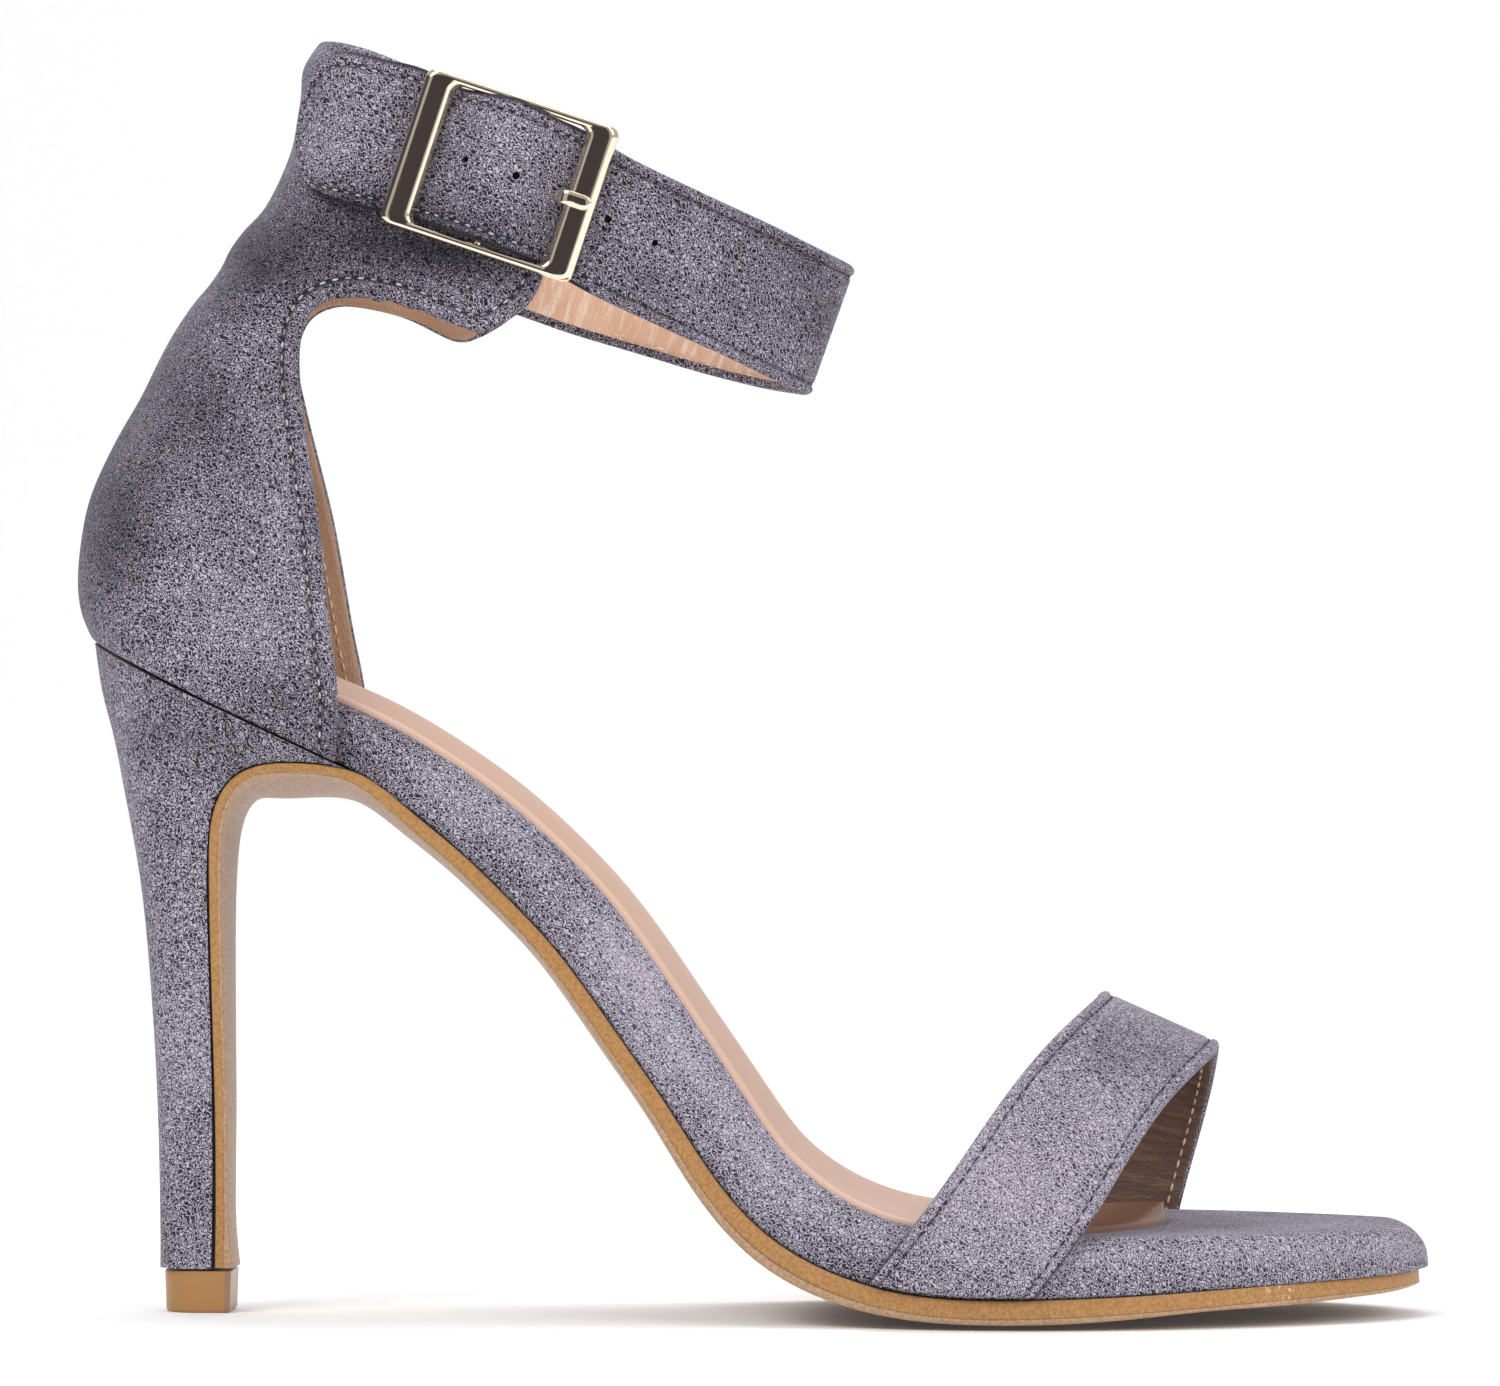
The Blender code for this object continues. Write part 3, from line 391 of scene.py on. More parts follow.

# %% [markdown]
# ## Lining
# Inside the upper a thin coated lining is glued on, tan in the counter, peach in the ankle strap
# and brown under the toe strap. It stops short of the edge, where the suede is folded over, and it
# is finely wrinkled across the strap, with a painted highlight on the crests of the wrinkles. The
# distance to the edge is stored on the points, so the cut is a crisp line.

# %% Lining finish
# Name, base colour and the painted highlight on the crests of the wrinkles
LININGS = (
    ("ankle_lining", (0.80, 0.525, 0.37), (1.0, 0.90, 0.80)),
    ("counter_lining", (0.56, 0.36, 0.235), (0.63, 0.43, 0.295)),
    ("toe_lining", (0.175, 0.098, 0.066), (0.31, 0.195, 0.14)),
)
LINING_ROUGH = 0.48
WRINKLE_ALONG_MM = 1.3
WRINKLE_ACROSS_MM = 9.0
SHADE_MM = 7.0


def make_lining(name, base, pale):
    finish = Finish(name)
    cut = finish.step("ShaderNodeUVMap", uv_map="cut")["UV"]
    squash = (1.0, WRINKLE_ALONG_MM / WRINKLE_ACROSS_MM, 1.0)
    squashed = finish.step("ShaderNodeMapping", {"Vector": cut, "Scale": squash})["Vector"]
    wrinkle = finish.noise(WRINKLE_ALONG_MM, 3.0, 0.6, 0.6, squashed)
    shade = finish.times(finish.noise(SHADE_MM, 2.0, 0.5), 0.35)
    # Painted highlight on the crests of the wrinkles
    crest_highlight = finish.times(finish.over(wrinkle, 0.56, 0.12), 0.7)
    toned = finish.mix(shade, finish.mix(crest_highlight, base, pale), base, "MULTIPLY")
    fold, pile = suede_colour(finish)
    inside = finish.over(finish.value("lining_mm"), 0.0, 0.08)
    finish.bump(finish.reckon("ADD", finish.times(wrinkle, inside), pile), 0.3, 0.5)
    rough = finish.between(inside, SUEDE_ROUGH, LINING_ROUGH)
    return finish.shade(Base_Color=finish.mix(inside, fold, toned), Roughness=rough)


ankle_lining, counter_lining, toe_lining = (make_lining(*row) for row in LININGS)
print("finishes:", ankle_lining.name, counter_lining.name, toe_lining.name)

# %% [markdown]
# ## Sole, sock, heel tip, metal and thread
# The sole is a cast sheet with a golden painted edge, a paler layer along its lower corner and a
# pinkish underside. The sock is a smooth pinkish sheet with a painted pale highlight along its edge.
# The heel tip is moulded tan plastic, the buckle has a pale gold plate, and the thread is spun cotton.

# %% Finishes of the bottom pieces
SOLE_STOPS = (
    (0.00, (0.060, 0.034, 0.020)),
    (0.02, (0.390, 0.200, 0.064)),
    (0.10, (0.450, 0.240, 0.078)),
    (0.445, (0.465, 0.250, 0.084)),
    (0.465, (0.190, 0.100, 0.048)),
    (0.485, (0.500, 0.335, 0.205)),
    (0.56, (0.480, 0.320, 0.205)),
    (0.60, (0.420, 0.285, 0.205)),
    (1.00, (0.430, 0.300, 0.225)),
)
SOLE_GRIT, SOLE_WEAR, SOLE_CHIP = (0.66, 0.56, 0.46), (1.0, 0.84, 0.66), (0.76, 0.63, 0.47)
UNDER_STRAP, SPECK = (0.40, 0.32, 0.29), (0.7, 0.62, 0.56)


def make_sole():
    finish = Finish("sole_sheet")
    fine = finish.noise(0.5)
    painted = finish.ramp(finish.times(finish.value("drop"), 0.5), SOLE_STOPS)
    grit = finish.times(finish.over(fine, 0.5, 0.16), 0.8)
    mottled = finish.mix(grit, painted, SOLE_GRIT, "MULTIPLY")
    wear = finish.times(finish.noise(9.0, 3.0, 0.55), 0.30)
    worn = finish.mix(wear, mottled, SOLE_WEAR, "MULTIPLY")
    # Where it was scuffed, small chips of the paint are off
    chips = finish.over(finish.noise(0.7, 2.0), 0.64, 0.04)
    chipped = finish.times(chips, finish.value("scuff"))
    finish.bump(fine, 0.10, 0.35)
    rough = finish.between(fine, 0.34, 0.62)
    return finish.shade(Base_Color=finish.mix(chipped, worn, SOLE_CHIP), Roughness=rough)


def make_sheet(name, base, pale, speck_mm, roughness, edge_value=None, shade_value=None, shine=0.5):
    """Smooth sheet with faint mottling, and a painted pale highlight along its edge and a painted shade at its
    end where stored values are high.
    """
    finish = Finish(name)
    fine = finish.noise(speck_mm)
    toned = finish.mix(finish.times(finish.noise(16.0, 2.0, 0.5), 0.4), base, pale)
    if edge_value:
        toned = finish.mix(finish.over(finish.value(edge_value), 0.5, 0.1), toned, pale)
    if shade_value:
        toned = finish.mix(finish.value(shade_value), toned, UNDER_STRAP, "MULTIPLY")
    speckled = finish.mix(finish.times(fine, 0.2), toned, SPECK, "MULTIPLY")
    finish.bump(fine, 0.06, 0.25)
    return finish.shade(Base_Color=speckled, Roughness=roughness, Specular_IOR_Level=shine)


sole_sheet = make_sole()
sock_sheet = make_sheet("sock_sheet", (0.53, 0.315, 0.22), (0.66, 0.45, 0.355), 0.8, 0.42, "rim", "shade", 0.25)
tip_plastic = make_sheet("tip_plastic", (0.40, 0.195, 0.062), (0.48, 0.26, 0.10), 1.2, 0.36)
tip_front = make_sheet("tip_front", (0.30, 0.165, 0.095), (0.36, 0.21, 0.13), 1.2, 0.3)
# Near-black core, also used inside the prong holes as painted shade
heel_core = make_sheet("heel_core", (0.026, 0.023, 0.032), (0.075, 0.068, 0.090), 0.7, 0.8)
print("finishes:", sole_sheet.name, sock_sheet.name, tip_plastic.name, heel_core.name)

# %% Finishes of the buckle and the thread
GOLD_STOPS = ((0.2, (0.90, 0.75, 0.56)), (0.8, (0.95, 0.83, 0.66)))
# Name, shaded and bright colour of the spun cotton
THREADS = (
    ("pale_thread", (0.26, 0.24, 0.29), (0.66, 0.63, 0.67)),
    ("dark_thread", (0.012, 0.010, 0.015), (0.09, 0.082, 0.10)),
    ("cream_thread", (0.62, 0.47, 0.33), (0.88, 0.78, 0.62)),
)
PLY_MM = 0.22


def make_gold():
    finish = Finish("gold_plate")
    rub = finish.noise(2.5, 4.0, 0.7)
    finish.bump(rub, 0.01, 0.06)
    rough = finish.between(rub, 0.04, 0.10)
    return finish.shade(Base_Color=finish.ramp(rub, GOLD_STOPS), Metallic=1.0, Roughness=rough)


def make_thread(name, shade, bright):
    finish = Finish(name)
    ply = finish.noise(PLY_MM, 2.0)
    colour = finish.mix(finish.over(finish.value("tone"), 0.55, 0.45), shade, bright)
    finish.bump(ply, 0.05, 0.4)
    return finish.shade(Base_Color=finish.mix(finish.times(ply, 0.5), colour, shade), Roughness=0.75)


gold_plate = make_gold()
pale_thread, dark_thread, cream_thread = (make_thread(*row) for row in THREADS)
print("finishes:", gold_plate.name, pale_thread.name, dark_thread.name, cream_thread.name)

# %% [markdown]
# ## The bed
# The bed is a stiff board wrapped in suede that carries the foot from the heel seat down the arch to
# the toe. Its outline and thickness come from the feather line, where it meets the sole. Here its
# edge gets a fine rounded profile, because the wrapped corner catches a soft line of light.

# %% Feather line of the last
FEATHER_COLUMNS = ("x", "z", "centre", "half_width", "bed", "pad", "edge", "camber")
FEATHER_ROWS = (
    (220.3, 8.0, 4.0, 40.0, 7.1, 1.2, 2.4, 0.2),
    (216.0, 7.7, 3.8, 40.0, 7.2, 1.2, 2.9, 0.3),
    (208.0, 7.4, 3.4, 40.0, 7.4, 1.2, 3.2, 0.5),
    (198.0, 7.0, 3.0, 40.0, 7.8, 1.3, 3.5, 0.7),
    (186.0, 6.4, 2.2, 40.0, 8.5, 2.8, 3.4, 1.0),
    (172.0, 5.6, 1.0, 39.6, 9.3, 2.8, 3.8, 1.3),
    (158.0, 5.1, 0.0, 38.9, 9.8, 1.7, 4.1, 1.4),
    (146.0, 5.1, -0.9, 37.6, 10.2, 0.7, 4.1, 1.4),
    (136.0, 6.0, -1.7, 35.3, 10.4, 0.7, 4.2, 1.4),
    (128.0, 7.9, -2.3, 32.7, 10.7, 0.8, 4.4, 1.5),
    (121.0, 10.7, -2.7, 30.2, 11.0, 1.1, 4.5, 1.6),
    (114.5, 14.7, -3.0, 27.8, 11.2, 1.5, 4.4, 1.6),
    (108.5, 20.4, -3.1, 25.9, 11.0, 1.7, 4.1, 1.6),
    (103.3, 27.3, -3.1, 24.5, 10.9, 1.9, 3.8, 1.6),
    (98.1, 35.2, -3.0, 23.3, 10.8, 1.9, 3.5, 1.7),
    (92.2, 43.5, -2.8, 22.3, 11.0, 1.9, 3.3, 1.8),
    (85.9, 52.3, -2.5, 21.5, 11.2, 2.0, 3.1, 1.9),
    (79.4, 60.7, -2.1, 21.0, 11.3, 2.0, 2.8, 2.0),
    (72.0, 68.5, -1.7, 20.8, 11.2, 2.1, 2.7, 2.1),
    (64.2, 75.9, -1.2, 20.9, 10.7, 2.2, 2.6, 2.3),
    (56.1, 82.6, -0.7, 21.3, 9.8, 2.3, 2.4, 2.7),
    (47.5, 88.5, -0.3, 21.4, 9.0, 2.4, 2.0, 3.5),
    (38.0, 93.1, 0.0, 21.5, 8.6, 2.5, 2.0, 3.0),
    (28.0, 97.8, 0.0, 21.7, 8.4, 2.4, 2.0, 3.0),
    (17.0, 102.9, 0.0, 21.8, 8.2, 2.3, 2.0, 3.0),
    (6.4, 107.8, 0.0, 21.8, 8.0, 2.2, 2.0, 3.0),
)
FEATHER = columns(FEATHER_COLUMNS, FEATHER_ROWS)
FEATHER_RUN = run_along(FEATHER["x"], FEATHER["z"])
TOE_ROUND = 66.0
HEEL_ROUND = 20.0
SEAT_GAP = 0.3
SLOPE_STEP = 0.05
ROUND_STATIONS, END_GAP = 22, 0.01


def sheet_at(run, table, table_run, names):
    """Position, upward normal and the named columns of a bottom sheet at distances along it."""
    line = np.column_stack([table["x"], table["z"]])
    point = spline(table_run, line, run)
    ahead = unit(spline(table_run, line, run + SLOPE_STEP) - spline(table_run, line, run - SLOPE_STEP))
    normal = np.column_stack([ahead[:, 1], -ahead[:, 0]])
    return point, normal, [spline(table_run, table[name], run) for name in names]


def bed_half_width(run):
    width = spline(FEATHER_RUN, FEATHER["half_width"], run)
    return width * round_end(run, TOE_ROUND) * round_end(FEATHER_RUN[-1] - run, HEEL_ROUND)


def stations(total, first_round, last_round, step):
    """Distances along a sheet, closer together where its ends are rounded."""
    turns = [np.linspace(0, np.pi / 2, ROUND_STATIONS if length else 1) for length in (first_round, last_round)]
    first = END_GAP + first_round * (1 - np.cos(turns[0]))
    last = total - END_GAP - last_round * (1 - np.cos(turns[1][::-1]))
    middle = np.linspace(first[-1], last[0], max(2, int((last[0] - first[-1]) / step)))
    return np.concatenate([first, middle[1:-1], last])


def place(point, normal, across, height):
    """Points of one ring of a sheet from its profile point, its normal, and offsets across and up."""
    return np.column_stack([point[0] + normal[0] * height, across, point[1] + normal[1] * height])


# %% Bed with a rounded, wrapped edge
NOSE_LENGTH = 7.0
NOSE_HEIGHT = 1.6
BED_STATION = 1.6
BED_EDGE = (
    (0.4, 0.0),
    (0.14, 0.02),
    (0.03, 0.07),
    (0.0, 0.25),
    (0.0, 0.52),
    (0.12, 0.68),
    (0.45, 0.81),
    (0.95, 0.90),
    (1.6, 0.96),
    (2.3, 0.99),
    (3.0, 1.0),
)
BED_EDGE_FULL_AT = 9.0
# Soft troughs across the bed's edge: distance back from the toe, width, depth
BED_TROUGHS = (
    (96.0, 5.0, 0.22),
    (118.0, 4.0, 0.18),
    (146.0, 6.0, 0.25),
    (171.0, 5.0, 0.2),
    (196.0, 6.0, 0.22),
)
BED_LOW = -0.1
# Painted highlight along the upper part of its edge, where light from above falls: strength, share of the
# height, reach
PAINTED_HIGHLIGHT, PAINTED_HIGHLIGHT_AT, PAINTED_HIGHLIGHT_REACH = 0.45, 0.66, 0.2
BED_SHADE = 0.12

run = stations(FEATHER_RUN[-1], NOSE_LENGTH, HEEL_ROUND, BED_STATION)
point, normal, (centre, thick) = sheet_at(run, FEATHER, FEATHER_RUN, ("centre", "bed"))
half = bed_half_width(run)
dent = sum(depth * bell(run - at, width) for at, width, depth in BED_TROUGHS)
rise = NOSE_HEIGHT + (thick - NOSE_HEIGHT) * round_end(run, NOSE_LENGTH) - BED_LOW
flat = np.linspace(-1, 1, 15)[1:-1]
rings = []
bed_painted_light = []
for i in range(len(run)):
    squeeze = min(1.0, half[i] / BED_EDGE_FULL_AT)
    side = np.array([(half[i] - inset * squeeze, share) for inset, share in BED_EDGE])
    side[:, 0] -= dent[i] * squeeze * np.sin(np.pi * np.clip(side[:, 1], 0, 1)) ** 2
    lower = np.column_stack([side[0, 0] * flat, np.zeros(len(flat))])
    upper = np.column_stack([side[-1, 0] * flat[::-1], np.ones(len(flat))])
    ring = np.concatenate([lower, side, upper, side[::-1] * (-1, 1)])
    rings.append(place(point[i], normal[i], centre[i] + ring[:, 0], BED_LOW + ring[:, 1] * rise[i]))
    # Painted highlight along the edge's upper part, less a little painted shade all over the bed
    bed_painted_light.append(PAINTED_HIGHLIGHT * bell(ring[:, 1] - PAINTED_HIGHLIGHT_AT, PAINTED_HIGHLIGHT_REACH) - BED_SHADE)
rings = np.array(rings)
bed = loft("wrapped_bed", rings, [suede], values={"nap": nap_and_painted_light_at(rings) + np.ravel(bed_painted_light)})

# %% [markdown]
# ## The sock
# A smooth sheet is glued over the bed under the foot. It stops short of the bed's edge, so the suede
# shows all round it, and a thin pale highlight is painted along its edge. The foam under it makes its middle
# swell.

# %% Sock
SOCK_INSET = 3.0
SOCK_FRONT_X = 178.0
SOCK_ROUND = 30.0
SOCK_EDGE = 0.6
SOCK_STATION = 2.0
SOCK_ACROSS = 31
SOCK_SUNK = -0.05
SOCK_CORNER = 0.5
# Reach of the painted pale highlight along the sock's edge
EDGE_HIGHLIGHT_REACH = 1.6
# The toe strap shades the sock from here on, fully after this length
SHADE_FROM, SHADE_LENGTH = 136.0, 22.0

start = np.interp(-SOCK_FRONT_X, -FEATHER["x"], FEATHER_RUN)
total = FEATHER_RUN[-1] - SOCK_INSET - start
run = stations(total, SOCK_ROUND, HEEL_ROUND, SOCK_STATION)
along = run + start
point, normal, (centre, thick, pad) = sheet_at(along, FEATHER, FEATHER_RUN, ("centre", "bed", "pad"))
half = spline(FEATHER_RUN, FEATHER["half_width"], along) * round_end(along, TOE_ROUND) - SOCK_INSET
half = half * round_end(run, SOCK_ROUND) * round_end(total - run, HEEL_ROUND)
across = np.sin(np.linspace(-np.pi / 2, np.pi / 2, SOCK_ACROSS))
rings = []
edge_highlights = []
for i in range(len(run)):
    swell = SOCK_EDGE + (pad[i] - SOCK_EDGE) * (1 - across**2)
    corner = round_end(half[i] * (1 - np.abs(across)), SOCK_CORNER)
    top = swell * (0.5 + 0.5 * corner)
    shares = np.concatenate([across, across[::-1]])
    heights = thick[i] + np.concatenate([np.full(SOCK_ACROSS, SOCK_SUNK), SEAT_GAP + top[::-1]])
    rings.append(place(point[i], normal[i], centre[i] + half[i] * shares, heights))
    edge_highlights.append(np.clip(EDGE_HIGHLIGHT_REACH - half[i] * (1 - np.abs(shares)), 0, 1))
rings = np.array(rings)
under_strap = np.clip((rings[..., 0] - SHADE_FROM) / SHADE_LENGTH, 0, 1)
sock = loft("sock_sheet", rings, [sock_sheet], values={"rim": np.array(edge_highlights), "shade": under_strap})

# %% [markdown]
# ## The outsole
# One sheet runs under the whole shoe: flat at the tread, thin up the waist and down the breast of the
# heel. Its edge is painted. A value that falls from the top corner to the underside lets one finish
# carry the dark glue line, the golden edge, the fine line, the pale layer and the pink underside.

# %% Outsole
LAST_SHANK_ROW = 21
BREAST_COLUMNS = ("x", "z", "centre", "half_width", "edge", "camber")
BREAST_ROWS = (
    (42.0, 89.7, -0.1, 22.2, 1.5, 4.3),
    (36.5, 90.0, 0.0, 21.7, 1.5, 4.7),
    (31.5, 89.5, 0.0, 20.6, 1.8, 4.1),
    (27.6, 87.8, 0.0, 18.9, 2.1, 2.8),
    (24.8, 84.6, 0.0, 16.9, 2.3, 1.6),
    (23.2, 80.2, 0.0, 14.9, 2.3, 1.1),
    (22.6, 74.0, 0.0, 12.9, 2.2, 0.9),
    (22.5, 66.0, 0.0, 11.3, 2.1, 0.8),
    (22.6, 56.0, 0.0, 9.9, 2.1, 0.7),
    (22.8, 44.0, 0.0, 8.6, 2.1, 0.6),
    (23.0, 32.0, 0.0, 7.5, 2.1, 0.5),
    (23.0, 20.0, 0.0, 6.6, 2.1, 0.4),
    (22.9, 12.0, 0.0, 6.1, 2.5, 0.3),
    (22.8, 7.4, 0.0, 5.9, 3.1, 0.2),
)
OUTSOLE_TOE_SETBACK = 1.6
OUTSOLE_LEDGE = 0.8
OUTSOLE_STATION = 1.6
# Edge from the top corner down: share of the edge's height, distance in
SOLE_EDGE = (
    *((0.0, 0.18), (0.06, 0.03), (0.2, 0.0), (0.4, 0.0)),
    *((0.6, 0.0), (0.8, 0.0), (0.93, 0.06), (1.0, 0.3)),
)
# The golden paint reaches this far down the edge: distance along the shoe, depth
GOLD = (
    *((22.0, 1.4), (30.0, 1.5), (45.0, 1.65), (60.0, 2.2)),
    *((90.0, 2.4), (120.0, 2.7), (150.0, 3.0), (220.0, 2.2)),
)
# Value of the painted edge's lower line and of the edge's end, and those of the underside
GOLD_DROP, EDGE_DROP = 0.89, 1.04
UNDER_DROP, MIDDLE_DROP = 1.06, 0.9
# The outer side is scuffed here: distance along the shoe, reach, strength
SCUFF_X, SCUFF_REACH, SCUFF = 198.0, 5.0, 0.8

breast = columns(BREAST_COLUMNS, BREAST_ROWS)
table = {}
for name in BREAST_COLUMNS:
    ledge = OUTSOLE_LEDGE if name == "half_width" else 0.0
    table[name] = np.concatenate([FEATHER[name][: LAST_SHANK_ROW + 1] + ledge, breast[name]])
table_run = run_along(table["x"], table["z"])
run = OUTSOLE_TOE_SETBACK + stations(table_run[-1] - OUTSOLE_TOE_SETBACK, NOSE_LENGTH, 0.0, OUTSOLE_STATION)
point, normal, (centre, half, edge, camber) = sheet_at(run, table, table_run, BREAST_COLUMNS[2:])
half = half * round_end(run - OUTSOLE_TOE_SETBACK, TOE_ROUND)
flat = np.linspace(-1, 1, 19)[1:-1]
edge_share, edge_inset = np.array(SOLE_EDGE).T
rings = []
for i in range(len(run)):
    squeeze = min(1.0, half[i] / BED_EDGE_FULL_AT)
    wall = half[i] - edge_inset * squeeze
    heights = -SEAT_GAP / 2 - edge_share * (edge[i] - SEAT_GAP / 2)
    top = np.column_stack([wall[0] * flat, np.full(len(flat), -SEAT_GAP / 2)])
    under = np.column_stack([wall[-1] * flat[::-1], -edge[i] - camber[i] * (1 - flat**2)])
    side = np.column_stack([wall, heights])
    ring = np.concatenate([top, side, under, side[::-1] * (-1, 1)])
    rings.append(place(point[i], normal[i], centre[i] + ring[:, 0], ring[:, 1]))
rings = np.array(rings)
rings[:, :, 2] = np.maximum(rings[:, :, 2], 0.0)
under_drop = UNDER_DROP + MIDDLE_DROP * (1 - np.abs(flat))
gold = np.interp(point[:, 0], *np.array(GOLD).T)
wall_drop = np.clip(GOLD_DROP * edge_share * (edge / gold)[:, None], 0, EDGE_DROP)
rest = np.ones((len(run), 1))
drop = np.concatenate([rest * np.zeros(len(flat)), wall_drop, rest * under_drop, wall_drop[:, ::-1]], axis=1)
scuff = SCUFF * bell(rings[..., 0] - SCUFF_X, SCUFF_REACH) * (rings[..., 1] < 0)
outsole = loft("outsole_sheet", rings, [sole_sheet], values={"drop": drop, "scuff": scuff})

# %% [markdown]
# ## The heel
# The stiletto is a dark moulded core wrapped in suede. The wrap ends at the breast, where the sole
# covers it, and towards the floor it gapes a little and shows the core as a dark sliver. The ring of
# each section therefore steps in just behind its front corners, by a setback that grows downwards.

# %% Heel wrapped in suede over a dark core
HEEL_COLUMNS = ("back_x", "back_z", "front_x", "front_z", "half_width", "front_half")
HEEL_ROWS = (
    (2.9, 109.2, 45.6, 89.0, 24.8, 22.6),
    (3.4, 105.4, 41.4, 89.8, 24.0, 22.2),
    (4.2, 100.6, 36.5, 90.0, 22.6, 21.4),
    (5.5, 95.6, 31.4, 89.5, 20.6, 20.0),
    (6.7, 90.0, 27.5, 87.8, 18.4, 18.2),
    (7.9, 83.6, 24.7, 84.6, 16.0, 16.0),
    (9.1, 77.2, 23.1, 80.2, 13.9, 14.0),
    (10.2, 70.4, 22.4, 73.0, 12.1, 12.2),
    (11.2, 61.5, 22.3, 63.0, 10.4, 10.4),
    (12.1, 50.0, 22.5, 50.5, 8.9, 8.8),
    (12.8, 38.0, 22.7, 38.0, 7.8, 7.6),
    (13.2, 26.0, 22.8, 26.0, 6.9, 6.7),
    (13.4, 14.0, 22.7, 14.0, 6.3, 6.1),
    (13.4, 7.2, 22.6, 7.2, 6.1, 5.9),
)
HEEL_BACK_SHARE = 0.95
HEEL_BACK_MOST = 0.8
# Opening of the wrap at the breast: height above the floor, setback
SLIVER = (
    *((7.0, 2.4), (9.0, 1.9), (14.0, 1.75), (24.0, 1.4)),
    *((32.0, 0.9), (43.0, 0.4), (52.0, 0.3), (110.0, 0.3)),
)
HEEL_STATIONS, HEEL_BACK_STEPS, HEEL_SIDE_STEPS = 110, 20, 9
# Steps from the wrap's cut edge down to the core: distance forward, distance in
CORE_STEPS = ((0.02, 0.25), (0.04, 0.8))
HEEL_REACH = 0.25


def round_section(half, front_half, round_depth, back_steps, side_steps):
    """One side of a section with a round back: depth from back to front, and half width."""
    turn = np.linspace(0, np.pi / 2, back_steps)
    more = np.linspace(0, 1, side_steps)[1:]
    deep = np.concatenate([round_depth * (1 - np.cos(turn)), round_depth + (1 - round_depth) * more])
    return deep, np.concatenate([half * np.sin(turn), half + (front_half - half) * more**2])


def mirror_ring(deep, wide, back, front):
    """Closed ring from one side of a section, in the plane that holds its back and front points."""
    deep = np.concatenate([deep, deep[:0:-1]])
    wide = np.concatenate([wide, -wide[:0:-1]])
    span = np.array([front[0] - back[0], front[1] - back[1]])
    return np.column_stack([back[0] + span[0] * deep, wide, back[1] + span[1] * deep])


table = columns(HEEL_COLUMNS, HEEL_ROWS)
fine = np.linspace(0, 1, HEEL_STATIONS)
core_ahead, core_in = np.array(CORE_STEPS).T
section = {name: spline(np.linspace(0, 1, len(HEEL_ROWS)), table[name], fine) for name in HEEL_COLUMNS}
sliver_z, sliver_wide = np.array(SLIVER).T
rings = []
for i in range(len(fine)):
    back = np.array([section["back_x"][i], section["back_z"][i]])
    front = np.array([section["front_x"][i], section["front_z"][i]])
    front += (front - back) / np.linalg.norm(front - back) * HEEL_REACH
    length = np.linalg.norm(front - back)
    half, front_half = section["half_width"][i], section["front_half"][i]
    back_share = min(HEEL_BACK_MOST, half * HEEL_BACK_SHARE / length)
    deep, wide = round_section(half, front_half, back_share, HEEL_BACK_STEPS, HEEL_SIDE_STEPS)
    setback = np.interp(front[1], sliver_z, sliver_wide) / length
    deep[-1] -= setback
    deep = np.concatenate([deep, deep[-1] + core_ahead / length, [1.0]])
    wide = np.concatenate([wide, wide[-1] - core_in, wide[-1:] - core_in[-1]])
    rings.append(mirror_ring(deep, wide, back, front))
rings = np.array(rings)
wrapped = HEEL_BACK_STEPS + HEEL_SIDE_STEPS - 1
strips = [0] * wrapped + [1] * 6 + [0] * (wrapped - 1)
heel = loft("wrapped_heel", rings, [suede, heel_core], strips, {"nap": nap_and_painted_light_at(rings)})

# %% [markdown]
# ## The heel tip
# A hard plastic tip is pinned under the heel and takes the wear. It is moulded with a small rounded
# corner at the floor and a slightly flared top, and its front face is darker where the sole ends.

# %% Heel tip
TIP_BACK_X = 14.4
TIP_LENGTH = 11.0
TIP_HALF_WIDTH = 5.7
TIP_BACK_SHARE = 0.5
TIP_FRONT_SHARE = 0.91
TIP_BACK_STEPS, TIP_SIDE_STEPS = 20, 8
# Height above the floor, distance in
TIP_PROFILE = (
    *((0.0, 0.5), (0.1, 0.25), (0.3, 0.08), (0.55, 0.0)),
    *((2.5, -0.06), (4.6, -0.13), (6.4, -0.2), (6.8, -0.12)),
)

rings = []
for z, inset in TIP_PROFILE:
    back = (TIP_BACK_X + inset, z)
    front = (TIP_BACK_X + TIP_LENGTH - inset, z)
    half = TIP_HALF_WIDTH - inset
    deep, wide = round_section(half, half, TIP_BACK_SHARE, TIP_BACK_STEPS, TIP_SIDE_STEPS)
    deep = np.sort(np.append(deep, TIP_FRONT_SHARE))
    wide = np.append(wide, half)
    rings.append(mirror_ring(deep, wide, back, front))
count = rings[0].shape[0]
depth = np.array(rings[0][:, 0] - rings[0][0, 0]) / (TIP_LENGTH - 1.0)
strips = [int(min(depth[j], depth[(j + 1) % count]) > TIP_FRONT_SHARE - 0.01) for j in range(count)]
tip = loft("moulded_heel_tip", rings, [tip_plastic, tip_front], strips)

# %% [markdown]
# ## Soft sheets with folded edges
# The upper pieces are suede folded over at the edge and backed with a lining. Each is a closed sheet:
# an outside and an inside that meet in a round fold. The thickness follows the distance to the edge,
# and a seam sinks a groove along the edge, so the rim outside it stands up as a soft roll.

# %% Folded sheet
FOLD_STEPS = (0.0, 0.05, 0.18, 0.42, 0.75, 1.05)
SEAM_SPREAD = (0.0, 0.18, 0.4, 0.7, 1.1, 1.5, 1.9)
SEAM_STEP = len(FOLD_STEPS) + 4
# Reach of the shade along a seam and along an edge
SEAM_SHADE, EDGE_SHADE = 0.24, 0.5


